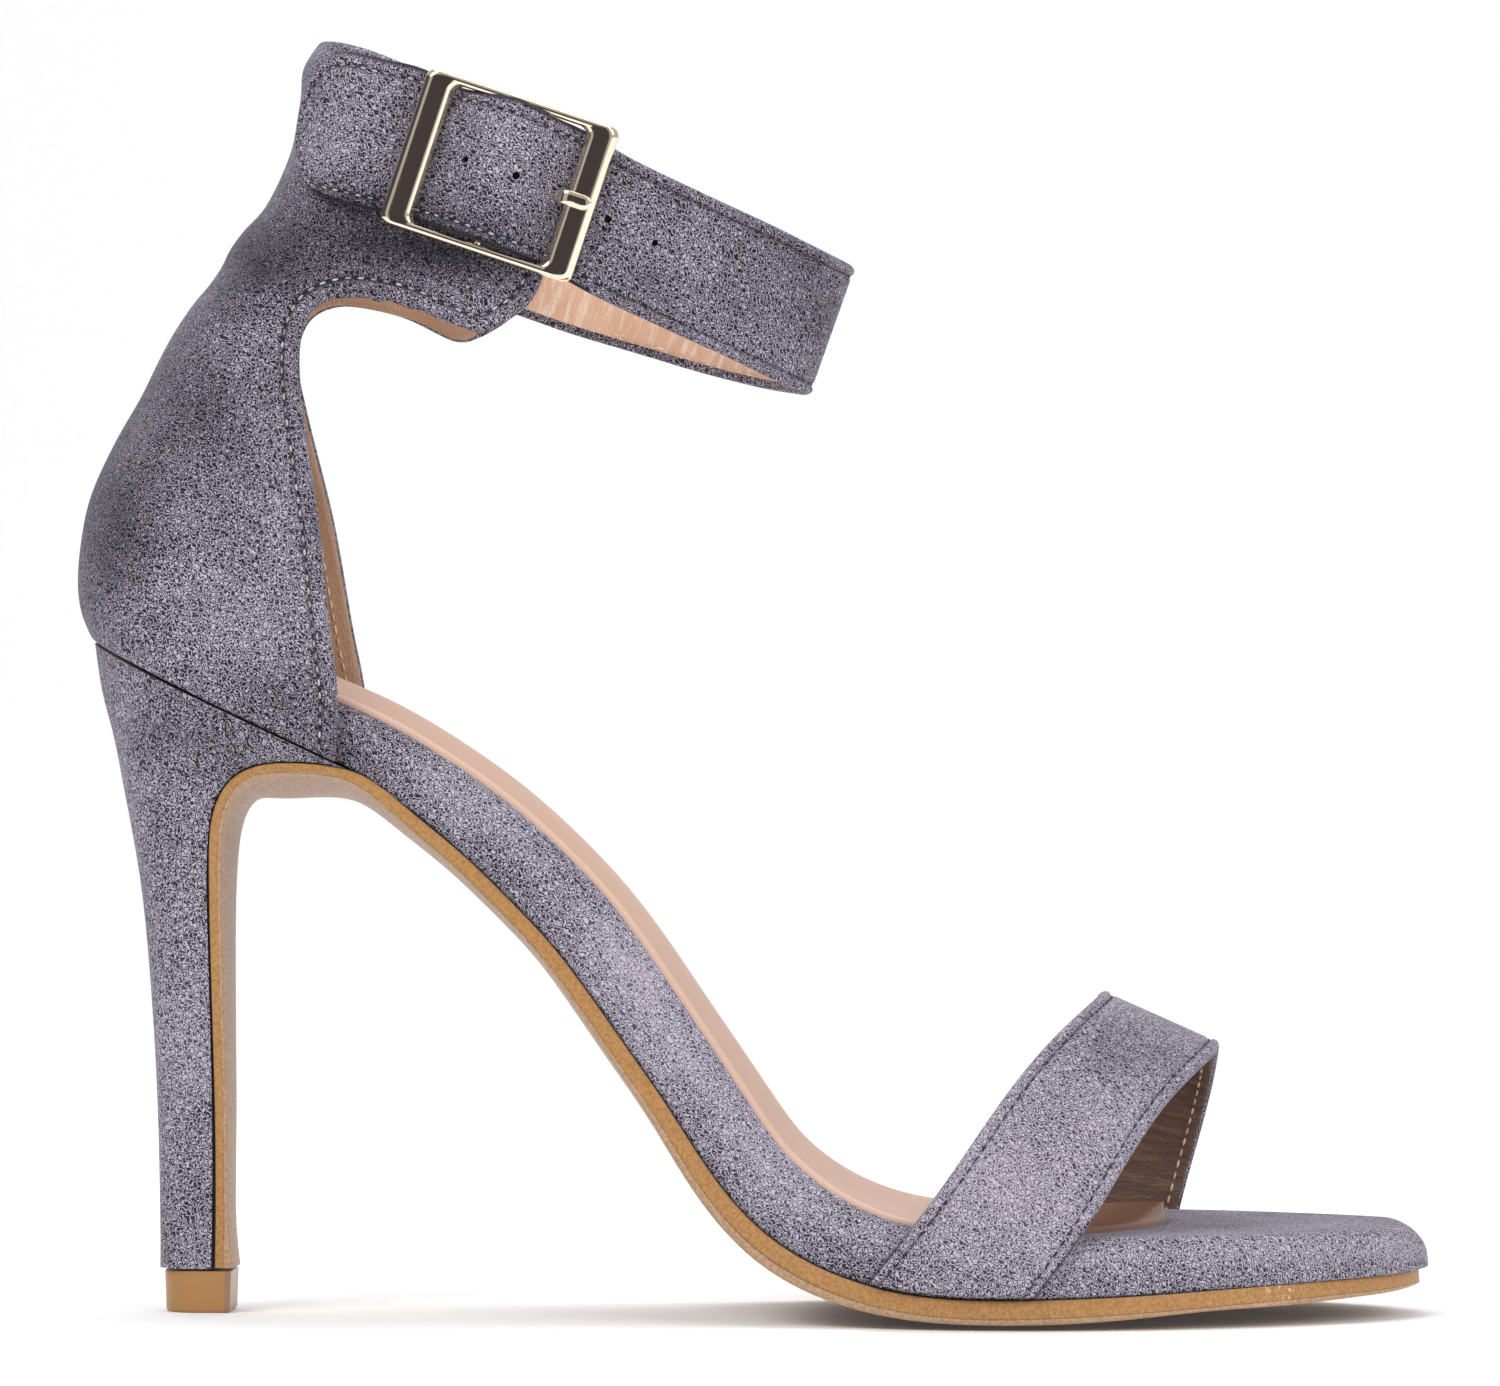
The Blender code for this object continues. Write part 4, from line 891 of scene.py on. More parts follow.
def edge_steps(seam):
    """Distances in from an edge, close together at its fold and on both sides of its seam."""
    between = np.linspace(FOLD_STEPS[-1], seam - 0.18, 5)[1:]
    return np.concatenate([FOLD_STEPS, between, seam + np.array(SEAM_SPREAD)])


def seam_relief(edge, seam):
    """Groove under the stitches and the soft roll outside it."""
    return 0.20 * bell(edge - 0.52 * seam, 0.3 * seam) - 0.34 * bell(edge - seam, 0.34)


def grid_normals(grid):
    """Unit normals of a grid of points, second axis crossed with first."""
    down = np.gradient(grid, axis=0)
    side = np.gradient(grid, axis=1)
    normal = np.cross(side, down)
    return normal / np.maximum(np.linalg.norm(normal, axis=-1, keepdims=True), 1e-9)


def folded_sheet(name, middle, normal, edge, groove, fold, wall, lining, relief, cut, fullness):
    """Closed sheet round a grid of middle points, from the distance to its folds and the shade of its seams."""
    half = wall / 2 * fullness
    outside = middle + normal * (half + relief * fullness)[..., None]
    inside = middle - normal * half[..., None]
    count = middle[..., 0].size
    index = np.arange(count).reshape(edge.shape)
    faces = grid_faces(index) + grid_faces(index + count, turn=True)
    slots = [0] * (len(faces) // 2) + [1] * (len(faces) // 2)
    points = np.concatenate([outside.reshape(-1, 3), inside.reshape(-1, 3)])
    values = {"nap": nap_and_painted_light_at(points), "groove": np.tile(groove.ravel(), 2)}
    values["lining_mm"] = np.tile(edge.ravel(), 2) - fold
    flat = np.tile(cut.reshape(-1, 2), (2, 1))
    return make_piece(name, points, faces, [suede, lining], slots, values, flat), outside, inside


print("edge steps:", np.round(edge_steps(2.0), 2))

# %% [markdown]
# ## The counter
# The counter cups the heel and grows into the ankle tab on each side. Its rows run from the back line
# to a band that follows the front edge at a fixed distance, so the seam keeps its distance everywhere.
# Round the notch under the tab straight rows would cross, so the net of rows is first let settle.

# %% Counter sections
COUNTER_COLUMNS = (
    *("back_x", "back_z", "edge_x", "edge_z", "inner_back"),
    *("depth", "half_width", "swell", "bow"),
)
COUNTER_ROWS = (
    (2.8, 109.9, 44.3, 90.5, 0.0, 23.0, 24.8, -0.4, 0.0),
    (0.9, 113.5, 44.8, 97.0, 0.0, 23.0, 25.4, -0.4, 0.0),
    (0.1, 118.5, 44.7, 103.0, 0.3, 23.0, 25.9, -0.5, 0.0),
    (0.5, 124.5, 43.8, 110.5, 0.9, 22.5, 26.1, -0.5, 0.0),
    (1.8, 131.0, 42.8, 120.5, 1.6, 22.0, 26.0, -0.5, 0.0),
    (3.9, 137.0, 41.6, 131.0, 2.4, 21.5, 25.7, -0.3, 0.0),
    (7.3, 144.0, 40.1, 141.0, 3.4, 20.5, 25.2, 0.0, 0.0),
    (11.4, 151.5, 39.0, 149.0, 4.2, 19.5, 24.6, 0.3, 0.0),
    (15.1, 158.4, 38.6, 154.8, 4.8, 18.2, 24.0, 0.6, 0.0),
    (18.2, 163.2, 39.1, 159.6, 4.8, 15.2, 23.5, 0.9, 0.0),
    (20.6, 166.5, 41.0, 163.0, 4.8, 14.2, 23.2, 1.2, 0.0),
    (22.2, 168.6, 44.3, 164.7, 4.8, 15.2, 23.1, 1.4, 0.0),
    (23.6, 170.2, 48.5, 165.0, 5.0, 16.6, 23.0, 1.5, 0.0),
    (24.8, 171.8, 54.8, 163.8, 5.4, 17.0, 23.0, 1.6, 0.0),
    (25.9, 173.8, 61.3, 161.0, 5.8, 17.0, 23.0, 1.6, 0.0),
    (27.2, 176.2, 67.0, 158.9, 6.2, 17.0, 23.0, 1.6, 0.1),
    (28.9, 178.5, 71.5, 160.4, 6.2, 17.0, 23.0, 1.6, 0.2),
    (30.8, 181.0, 75.2, 163.0, 6.0, 17.0, 23.0, 1.6, 0.3),
    (32.7, 183.8, 77.6, 166.8, 5.6, 17.0, 23.0, 1.6, 0.4),
    (34.2, 187.0, 78.8, 171.6, 5.0, 17.0, 23.0, 1.6, 0.6),
    (35.4, 190.6, 79.0, 176.6, 4.5, 17.0, 23.0, 1.6, 0.8),
    (36.1, 194.6, 78.4, 181.4, 4.0, 17.0, 23.0, 1.6, 1.0),
    (36.7, 199.0, 76.4, 185.8, 4.0, 17.0, 23.0, 1.6, 1.2),
    (37.2, 203.0, 73.0, 190.0, 4.0, 17.0, 23.0, 1.6, 1.4),
    (40.2, 207.5, 67.6, 195.8, 4.0, 17.0, 23.0, 1.6, 1.6),
)
COUNTER = columns(COUNTER_COLUMNS, COUNTER_ROWS)
COUNTER_LEVELS = np.linspace(0, 1, len(COUNTER_ROWS))
COUNTER_WALL = 2.2
SWELL_REACH = 22.0


def counter_rows(levels):
    """Columns of the counter's table at levels between the heel seat (0) and the top (1)."""
    return {name: spline(COUNTER_LEVELS, COUNTER[name], levels) for name in COUNTER_COLUMNS}


def counter_half(deep, row):
    """Half width of the counter at a depth in front of its back line."""
    lean = 1 - np.clip(deep / row["depth"], 0, 1)
    past = np.clip(deep - row["depth"], 0, None)
    swell = row["swell"] * np.sin(np.pi * past / (2 * SWELL_REACH)) ** 2
    return row["half_width"] * np.sqrt(1 - lean**2) + swell


WALL = counter_rows(np.linspace(0, 1, 201))


def wall_half(x, z):
    """Half width of the counter's outside at points of the side view."""
    off_x = np.ravel(x)[:, None] - WALL["back_x"]
    off_z = np.ravel(z)[:, None] - WALL["back_z"]
    ahead_x = WALL["edge_x"] - WALL["back_x"]
    ahead_z = WALL["edge_z"] - WALL["back_z"]
    length = np.hypot(ahead_x, ahead_z)
    along = (off_x * ahead_x + off_z * ahead_z) / length
    share = np.clip(along / length, 0, 1)
    above = (ahead_x * off_z - ahead_z * off_x) / length - WALL["bow"] * 4 * share * (1 - share)
    pick = np.arange(len(above))
    cell = np.clip((above > 0).sum(axis=1) - 1, 0, len(length) - 2)
    low, high = above[pick, cell], above[pick, cell + 1]
    part = np.clip(low / np.where(low == high, 1.0, low - high), 0, 1)
    reach = along[pick, cell] * (1 - part) + along[pick, cell + 1] * part
    row = counter_rows((cell + part) / (len(length) - 1))
    return counter_half(np.maximum(reach, 0.0), row).reshape(np.shape(x))


print("half width at the heel in mm:", np.round(wall_half(np.array([30.0]), np.array([120.0])), 2))

# %% The settled net of counter rows
COUNTER_SEAM = 2.8
COUNTER_STEPS = edge_steps(COUNTER_SEAM)
BAND = COUNTER_STEPS[-1]
NET_ROWS, NET_COLUMNS = 49, 13
SIDE_COLUMNS = 30
ROWS_BETWEEN = 150
LIP_DROP, LIP_REACH = 0.55, 2.0
# Length of the counter's edge, which turns a distance from its ends into a share of the levels
EDGE_LENGTH = 24 * 4.6
LOW_BAND = COUNTER_STEPS / EDGE_LENGTH
HIGH_BAND = 1 - COUNTER_STEPS[::-1] / EDGE_LENGTH
LEVELS = np.concatenate([LOW_BAND[:-1], np.linspace(LOW_BAND[-1], HIGH_BAND[0], ROWS_BETWEEN), HIGH_BAND[1:]])
LEVEL_STEP = 0.002
LOW_CORNER, HIGH_CORNER = 0.06, 0.05
# Farther in than the band, the distance to the front edge no longer matters
FAR = 9.0


def counter_borders(levels, inner):
    """Back line, front edge and the line one band in from it, in the side view."""
    row = counter_rows(levels)
    back = np.column_stack([row["back_x"], row["back_z"]])
    edge = np.column_stack([row["edge_x"] - row["inner_back"] * inner, row["edge_z"]])
    ahead = counter_rows(np.clip(levels + LEVEL_STEP, 0, 1))
    behind = counter_rows(np.clip(levels - LEVEL_STEP, 0, 1))
    rise = {name: ahead[name] - behind[name] for name in ("edge_x", "edge_z", "inner_back")}
    inward = unit(np.column_stack([-rise["edge_z"], rise["edge_x"] - rise["inner_back"] * inner]))
    # At both ends of the edge the band points home to the back line instead
    corner = np.maximum(bell(levels, LOW_CORNER), bell(1 - levels, HIGH_CORNER))[:, None]
    return back, edge, unit(inward * (1 - corner) + unit(back - edge) * corner), row["bow"]


def straight_net(back, front, bow, count):
    share = np.linspace(0, 1, count)[None, :, None]
    net = back[:, None] * (1 - share) + front[:, None] * share
    net[..., 1] += (bow[:, None] * 4 * share[..., 0] * (1 - share[..., 0])) * 0.9
    return net


def settle(net, rounds=700):
    """Let the lines of a net settle between its fixed borders, so that none of them cross."""
    for _ in range(rounds):
        down = (net[2:, 1:-1] - net[:-2, 1:-1]) / 2
        side = (net[1:-1, 2:] - net[1:-1, :-2]) / 2
        first = (side**2).sum(-1, keepdims=True)
        second = (down**2).sum(-1, keepdims=True)
        both = (down * side).sum(-1, keepdims=True)
        twist = net[2:, 2:] - net[2:, :-2] - net[:-2, 2:] + net[:-2, :-2]
        pulled = first * (net[2:, 1:-1] + net[:-2, 1:-1]) + second * (net[1:-1, 2:] + net[1:-1, :-2])
        net[1:-1, 1:-1] = (pulled - 0.5 * both * twist) / (2 * (first + second))
    return net


def counter_side(inner):
    """Points of one side from the back line to the front edge, with their distances to the front edge."""
    coarse = np.linspace(LOW_BAND[-1], HIGH_BAND[0], NET_ROWS)
    back, edge, inward, bow = counter_borders(coarse, inner)
    start = straight_net(back, edge + inward * BAND, bow, NET_COLUMNS)
    moved = settle(start.copy()) - start
    back, edge, inward, bow = counter_borders(LEVELS, inner)
    net = straight_net(back, edge + inward * BAND, bow, NET_COLUMNS)
    between = (LEVELS > coarse[0]) & (LEVELS < coarse[-1])
    for j in range(1, NET_COLUMNS - 1):
        net[between, j] += spline(coarse, moved[:, j], LEVELS[between])
    knots = np.linspace(0, 1, NET_COLUMNS)
    dense = np.linspace(0, 1, 140) ** 2
    grid = np.zeros((len(LEVELS), SIDE_COLUMNS + len(COUNTER_STEPS) - 1, 3))
    for i in range(len(LEVELS)):
        path = spline(knots, net[i], dense)
        half = wall_half(path[:, 0], path[:, 1])
        half[0] = 0.0
        run = run_along(path[:, 0], path[:, 1], half)
        even = np.linspace(0, run[-1], SIDE_COLUMNS)
        grid[i, :SIDE_COLUMNS, 0] = np.interp(even, run, path[:, 0])
        grid[i, :SIDE_COLUMNS, 2] = np.interp(even, run, path[:, 1])
        band = edge[i] + inward[i] * COUNTER_STEPS[-2::-1][:, None]
        grid[i, SIDE_COLUMNS:, 0] = band[:, 0]
        grid[i, SIDE_COLUMNS:, 2] = band[:, 1]
    grid[..., 1] = wall_half(grid[..., 0], grid[..., 2])
    grid[:, 0, 1] = 0.0
    front = np.full(grid.shape[:2], FAR)
    front[:, SIDE_COLUMNS - 1 :] = COUNTER_STEPS[::-1]
    return grid, front


inner_grid, inner_front = counter_side(1)
outer_grid, outer_front = counter_side(0)
outer_grid[..., 1] *= -1
counter_grid = np.concatenate([inner_grid[:, :0:-1], outer_grid], axis=1)
front_mm = np.concatenate([inner_front[:, :0:-1], outer_front], axis=1)
bottom_mm = np.linalg.norm(counter_grid - counter_grid[:1], axis=-1)
top_mm = np.linalg.norm(counter_grid - counter_grid[-1:], axis=-1)
counter_grid[..., 2] -= LIP_DROP * bell(bottom_mm, LIP_REACH)
print("counter grid:", counter_grid.shape[:2])

# %% [markdown]
# ## Folds in the counter
# Where the ankle bends the counter has set into a few soft folds. Each is drawn in the side
# view as a line with a width and a depth: a negative depth is a trough and a positive one a ridge.

# %% Counter as a folded sheet
# From x, z to x, z on the outer side, width and depth
COUNTER_FOLDS = (
    (24.0, 166.5, 41.0, 158.0, 3.2, -0.55),
    (24.0, 173.0, 40.0, 168.0, 3.0, 0.50),
    (30.0, 180.0, 44.0, 173.0, 3.5, -0.50),
    (12.0, 148.0, 30.0, 141.0, 5.0, -0.30),
    (5.0, 131.0, 20.0, 126.0, 6.0, 0.25),
    (38.0, 140.0, 30.0, 120.0, 4.5, -0.25),
)


def fold_relief(grid, folds):
    """Height of the listed folds at points of the side view."""
    total = np.zeros(grid.shape[:-1])
    for x0, z0, x1, z1, width, depth in folds:
        span = np.array([x1 - x0, z1 - z0])
        off = grid[..., [0, 2]] - (x0, z0)
        share = np.clip(off @ span / (span @ span), 0, 1)
        total += depth * bell(np.linalg.norm(off - share[..., None] * span, axis=-1), width)
    return total


COUNTER_FOLD_OVER, ROUND_OVER = 0.35, 1.1
FADE_FROM_EDGE = 4.0


def away_from_edge(edge):
    """Zero at an edge and one a few millimetres in, so that folds fade out before it."""
    return np.clip(edge / FADE_FROM_EDGE, 0, 1)


# Painted shade in the seam grooves: strength and reach
COUNTER_SEAM_PAINTED_SHADE, COUNTER_SHADE = 0.55, 0.26
groove = COUNTER_SEAM_PAINTED_SHADE * bell(front_mm - COUNTER_SEAM, COUNTER_SHADE)
edge_mm = np.minimum(np.minimum(front_mm, top_mm), bottom_mm)
fullness = round_end(front_mm, ROUND_OVER) * round_end(top_mm, ROUND_OVER) * round_end(bottom_mm, ROUND_OVER)
counter_normal = grid_normals(counter_grid)
folds = fold_relief(counter_grid, COUNTER_FOLDS) * away_from_edge(edge_mm)
relief = seam_relief(front_mm, COUNTER_SEAM) + folds
hops = np.linalg.norm(np.diff(counter_grid, axis=1, prepend=counter_grid[:, :1]), axis=-1)
cut = np.stack([np.cumsum(hops, axis=1), counter_grid[..., 2]], axis=-1)
middle = counter_grid - counter_normal * COUNTER_WALL / 2
counter_make = (COUNTER_FOLD_OVER, COUNTER_WALL, counter_lining)
counter, counter_out, counter_in = folded_sheet(
    "counter_and_tabs", middle, counter_normal, edge_mm, groove, *counter_make, relief, cut, fullness
)
print("outward at the outer side:", np.round(counter_normal[80, -30], 2))

# %% [markdown]
# ## The ankle strap
# The strap is sewn to the inner tab, runs round the front of the ankle, passes under the buckle and
# ends in a round tongue on the outer side. It is drawn as loops that run parallel to its border:
# down one edge, round the tongue and back, one inside another, so its seam follows the tongue too.

# %% Path of the ankle strap
# On the outer tab: x, z, lean, lift off the tab, gain in width above the middle
STRAP_ON_ROWS = (
    (39.2, 191.6, 6.0, 1.5, 0.15),
    (40.4, 191.6, 6.5, 1.5, 0.15),
    (42.6, 191.4, 7.5, 1.5, 0.15),
    (46.0, 190.9, 9.0, 1.5, 0.15),
    (51.0, 189.9, 11.5, 1.5, 0.15),
    (56.0, 188.8, 14.0, 1.5, 0.14),
    (60.5, 187.5, 16.0, 2.0, 0.04),
    (65.0, 186.1, 17.4, 4.1, 0.04),
    (68.5, 185.0, 18.0, 5.5, 0.08),
    (71.3, 184.0, 18.4, 5.9, 0.12),
    (74.1, 183.0, 18.8, 5.5, 0.08),
    (77.6, 181.7, 19.2, 4.0, 0.04),
    (81.6, 180.0, 20.0, 1.9, 0.03),
    (85.8, 177.7, 21.2, 1.5, 0.0),
)
# Free round the ankle: x, y, z, lean
STRAP_FREE_ROWS = (
    (91.0, -24.6, 174.9, 22.4),
    (97.6, -22.4, 171.8, 23.0),
    (104.4, -19.0, 168.7, 22.6),
    (110.8, -14.8, 165.8, 21.8),
    (116.6, -9.9, 163.0, 21.0),
    (120.8, -4.8, 161.0, 20.0),
    (122.4, 0.0, 160.2, 19.5),
    (121.0, 4.8, 160.4, 19.5),
    (117.0, 9.8, 161.1, 20.0),
    (111.2, 14.6, 162.5, 20.0),
    (104.2, 18.8, 164.4, 20.0),
    (96.4, 22.2, 166.8, 20.0),
    (88.4, 24.4, 169.2, 20.0),
)
# Sewn on the inner tab: x, z, lean, lift off the tab
STRAP_SEWN_ROWS = (
    (82.0, 171.2, 20.0, 0.9),
    (76.0, 173.3, 20.0, 0.3),
    (70.0, 175.4, 20.0, 0.3),
    (64.0, 177.5, 20.0, 0.3),
    (58.0, 179.5, 20.0, 0.3),
)
STRAP_HALF = 11.2
STRAP_WALL = 2.0
STRAP_END_ROUND = 10.5
WALL_STEP = 0.1
# Over the buckle's centre bar the strap's top edge swells out over the top bar
CREST_X, CREST = 71.3, 0.9


def on_wall(x, z, lift, side):
    """Points lifted off the counter's outside, on the outer (-1) or inner (+1) side."""
    here = wall_half(x, z)
    slope_x = (wall_half(x + WALL_STEP, z) - wall_half(x - WALL_STEP, z)) / (2 * WALL_STEP)
    slope_z = (wall_half(x, z + WALL_STEP) - wall_half(x, z - WALL_STEP)) / (2 * WALL_STEP)
    size = np.sqrt(1 + slope_x**2 + slope_z**2)
    out = lift / size
    return np.column_stack([x - slope_x / size * lift, side * (here + out), z - slope_z / size * lift])


def leaned(x, z, lean, offset):
    """Points of the side view moved across the strap, which leans."""
    return x + offset * np.sin(np.radians(lean)), z + offset * np.cos(np.radians(lean))


def strap_line(offset):
    """The strap's middle surface along its length, at an offset from its middle line."""
    x, z, lean, lift, upper_gain = np.array(STRAP_ON_ROWS).T
    wide = offset * (1 + upper_gain * (offset > 0))
    lift = lift + CREST * bell(x - CREST_X, 4.0) * np.clip((offset - 7.0) / 4.0, 0, 1)
    on = on_wall(*leaned(x, z, lean, wide), lift, -1)
    x, y, z, lean = np.array(STRAP_FREE_ROWS).T
    x, z = leaned(x, z, lean, offset)
    free = np.column_stack([x, y, z])
    x, z, lean, lift = np.array(STRAP_SEWN_ROWS).T
    sewn = on_wall(*leaned(x, z, lean, offset), lift, 1)
    return np.concatenate([on, free, sewn])


STRAP_OFFSETS = np.linspace(-STRAP_HALF, STRAP_HALF, 25)
STRAP_LINES = [strap_line(offset) for offset in STRAP_OFFSETS]
STRAP_KNOTS = run_along(*strap_line(0.0).T)
STRAP_LENGTH = STRAP_KNOTS[-1]


def strap_point(run, offset):
    """Points of the strap's middle surface at distances along it and across it."""
    lines = np.array([spline(STRAP_KNOTS, line, run) for line in STRAP_LINES])
    place_at = np.clip((offset + STRAP_HALF) / (2 * STRAP_HALF), 0, 1) * (len(STRAP_OFFSETS) - 1)
    cell = np.clip(place_at.astype(int), 0, len(STRAP_OFFSETS) - 2)
    part = (place_at - cell)[:, None]
    pick = np.arange(len(run))
    return lines[cell, pick] * (1 - part) + lines[cell + 1, pick] * part


def strap_outward(run, offset, reach):
    """Outward direction of the strap, from points a short reach to each side."""
    ahead = strap_point(run + reach, offset) - strap_point(run - reach, offset)
    inset = np.clip(offset, -STRAP_HALF + reach, STRAP_HALF - reach)
    upward = strap_point(run, inset + reach) - strap_point(run, inset - reach)
    return unit(np.cross(ahead, upward))


print("strap length in mm:", round(STRAP_LENGTH, 1))

# %% Ankle strap as a folded sheet
STRAP_SEAM = 1.9
STRAP_LOOPS = np.concatenate([edge_steps(STRAP_SEAM), (5.0, 6.4, 7.9, 9.4, 11.2)])
STRAIGHT_STATIONS = 120
TURN_STATIONS = 25
STRAP_FOLD_OVER = 1.4
# Painted shade in the seams' grooves: strong on the tail, faint past the buckle, where the seam has sunk
# into the pile and hardly shows; the tail's fold gets a painted shadow where it stands off the counter
TAIL_X = 86.0
TAIL_SEAM_PAINTED_SHADE, LOOP_SEAM_PAINTED_SHADE, TAIL_EDGE_PAINTED_SHADOW = 0.50, 0.18, 0.9
STRAP_FOLDS = (
    (118.0, 176.0, 116.5, 158.0, 1.6, -0.35),
    (112.0, 178.0, 110.0, 158.0, 2.5, 0.20),
    (100.0, 183.0, 97.0, 164.0, 4.0, -0.18),
    (88.0, 187.0, 85.0, 170.0, 3.0, -0.22),
    (52.0, 197.0, 49.0, 182.0, 4.0, -0.15),
)
straight = np.linspace(STRAP_LENGTH, STRAP_END_ROUND, STRAIGHT_STATIONS)
turn = np.linspace(-np.pi / 2, np.pi / 2, TURN_STATIONS)[1:-1]
runs = []
offsets = []
for edge in STRAP_LOOPS:
    reach = STRAP_HALF - edge
    depth = STRAP_END_ROUND * (1 - edge / STRAP_HALF)
    runs.append(np.concatenate([straight, STRAP_END_ROUND - depth * np.cos(turn), straight[::-1]]))
    side = np.full(len(straight), reach)
    offsets.append(np.concatenate([-side, reach * np.sin(turn), side]))
strap_run = np.array(runs)
strap_offset = np.array(offsets)
strap_middle = strap_point(strap_run.ravel(), strap_offset.ravel()).reshape(*strap_run.shape, 3)
strap_normal = strap_outward(strap_run.ravel(), strap_offset.ravel(), 0.2).reshape(strap_middle.shape)
strap_edge = np.repeat(STRAP_LOOPS[:, None], strap_run.shape[1], axis=1)
sewn_mm = STRAP_LENGTH - strap_run
fullness = round_end(strap_edge, STRAP_WALL / 2) * round_end(sewn_mm, STRAP_WALL / 2)
outer_side = strap_middle[..., 1] < 2.0
folds = fold_relief(strap_middle, STRAP_FOLDS) * outer_side * away_from_edge(strap_edge)
relief = seam_relief(strap_edge, STRAP_SEAM) + folds
on_tail = outer_side & (strap_middle[..., 0] < TAIL_X)
groove = np.where(on_tail, TAIL_SEAM_PAINTED_SHADE, LOOP_SEAM_PAINTED_SHADE) * bell(strap_edge - STRAP_SEAM, SEAM_SHADE)
groove = groove + TAIL_EDGE_PAINTED_SHADOW * on_tail * bell(strap_edge, EDGE_SHADE)
cut = np.stack([strap_run, strap_offset], axis=-1)
strap_make = (STRAP_FOLD_OVER, STRAP_WALL, ankle_lining)
ankle_strap, strap_out, strap_in = folded_sheet(
    "ankle_strap", strap_middle, strap_normal, strap_edge, groove, *strap_make, relief, cut, fullness
)

# %% [markdown]
# ## The toe strap
# A broad band arches over the toes and is lasted under the bed on both sides. It is the same folded
# sheet: its lines run from the outer base over the top to the inner base, between a rear edge and a
# front edge that are each given by three points in plan and a height.

# %% Toe strap as a folded sheet
TOE_STRAP_COLUMNS = ("outer_x", "top_x", "inner_x", "top_z", "skew", "outer_bow", "inner_bow")
TOE_STRAP_ROWS = (
    (130.6, 166.6, 154.6, 51.6, 4.0, 2.5, 1.7),
    (157.4, 186.2, 177.6, 42.8, 6.0, 2.6, -0.6),
)
TOE_STRAP = columns(TOE_STRAP_COLUMNS, TOE_STRAP_ROWS)
TOE_STRAP_WALL = 2.0
TOE_STRAP_POWER = 2.5
SHOULDER_GAIN = 256 / 27
TOE_STRAP_STATIONS = 130
TOE_SEAM = 2.1
TOE_FOLD_OVER = 0.45
# Strength of the painted shade in the seam grooves and of the painted shadow along the base edges
TOE_SEAM_PAINTED_SHADE, BASE_EDGE_PAINTED_SHADOW = 0.12, 0.8
BASE_STEPS = np.array((0.0, 0.06, 0.2, 0.5, 0.9, 1.3))
BASE_END = 2.0
TOE_STRAP_FOLDS = (
    (150.0, 14.0, 166.0, 20.0, 4.0, -0.25),
    (140.0, 12.0, 152.0, 9.0, 3.0, 0.20),
    (165.0, 40.0, 176.0, 34.0, 5.0, -0.20),
)


def toe_strap_point(share, turn):
    """Points of the toe strap's middle surface: share from rear to front, turn from outer to inner base."""
    edge = {name: TOE_STRAP[name][0] * (1 - share) + TOE_STRAP[name][1] * share for name in TOE_STRAP_COLUMNS}
    outer = turn < np.pi / 2
    wide = np.abs(np.cos(turn)) ** (2 / TOE_STRAP_POWER)
    high = np.sin(turn) ** (2 / TOE_STRAP_POWER)
    base_x = np.where(outer, edge["outer_x"], edge["inner_x"])
    base_z = np.interp(base_x, FEATHER["x"][::-1], FEATHER["z"][::-1]) + SEAT_GAP
    bow = np.where(outer, edge["outer_bow"], edge["inner_bow"])
    x = edge["top_x"] + (base_x - edge["top_x"]) * (1 - high) - bow * SHOULDER_GAIN * high**3 * (1 - high)
    run = np.interp(-x, -FEATHER["x"], FEATHER_RUN)
    reach = bed_half_width(run) + SEAT_GAP + TOE_STRAP_WALL / 2
    foot = spline(FEATHER_RUN, FEATHER["centre"], run) + np.where(outer, -1, 1) * reach
    middle = edge["skew"] * high
    z = base_z + (edge["top_z"] - base_z) * high
    return np.stack([x, middle + wide * (foot - middle), z], axis=-1)


dense = np.linspace(0, np.pi, 1201)
line = toe_strap_point(np.full(dense.shape, 0.5), dense)
arc = run_along(*line.T)
even = np.linspace(BASE_END, arc[-1] - BASE_END, TOE_STRAP_STATIONS)
even = np.concatenate([BASE_STEPS, even, arc[-1] - BASE_STEPS[::-1]])
turns = np.interp(even, arc, dense)
rear, fore = (toe_strap_point(np.full(len(turns), share), turns) for share in (0.0, 1.0))
width = np.linalg.norm(fore - rear, axis=1)
steps = edge_steps(TOE_SEAM)
near = steps[:, None] / width
inner_shares = np.linspace(0, 1, 12)[1:-1, None]
between = near[-1] + (1 - 2 * near[-1]) * inner_shares
shares = np.concatenate([near, between, 1 - near[::-1]])
toe_edge = np.minimum(shares, 1 - shares) * width
toe_turn = np.repeat(turns[None], len(shares), axis=0)
toe_middle = toe_strap_point(shares.ravel(), toe_turn.ravel()).reshape(*shares.shape, 3)
toe_normal = -grid_normals(toe_middle)
base_mm = np.repeat(np.minimum(even, arc[-1] - even)[None], len(shares), axis=0)
fullness = round_end(toe_edge, TOE_STRAP_WALL / 2) * round_end(base_mm, TOE_STRAP_WALL / 2)
folds = fold_relief(toe_middle, TOE_STRAP_FOLDS) * (toe_middle[..., 1] < 0) * away_from_edge(toe_edge)
relief = seam_relief(toe_edge, TOE_SEAM) + folds
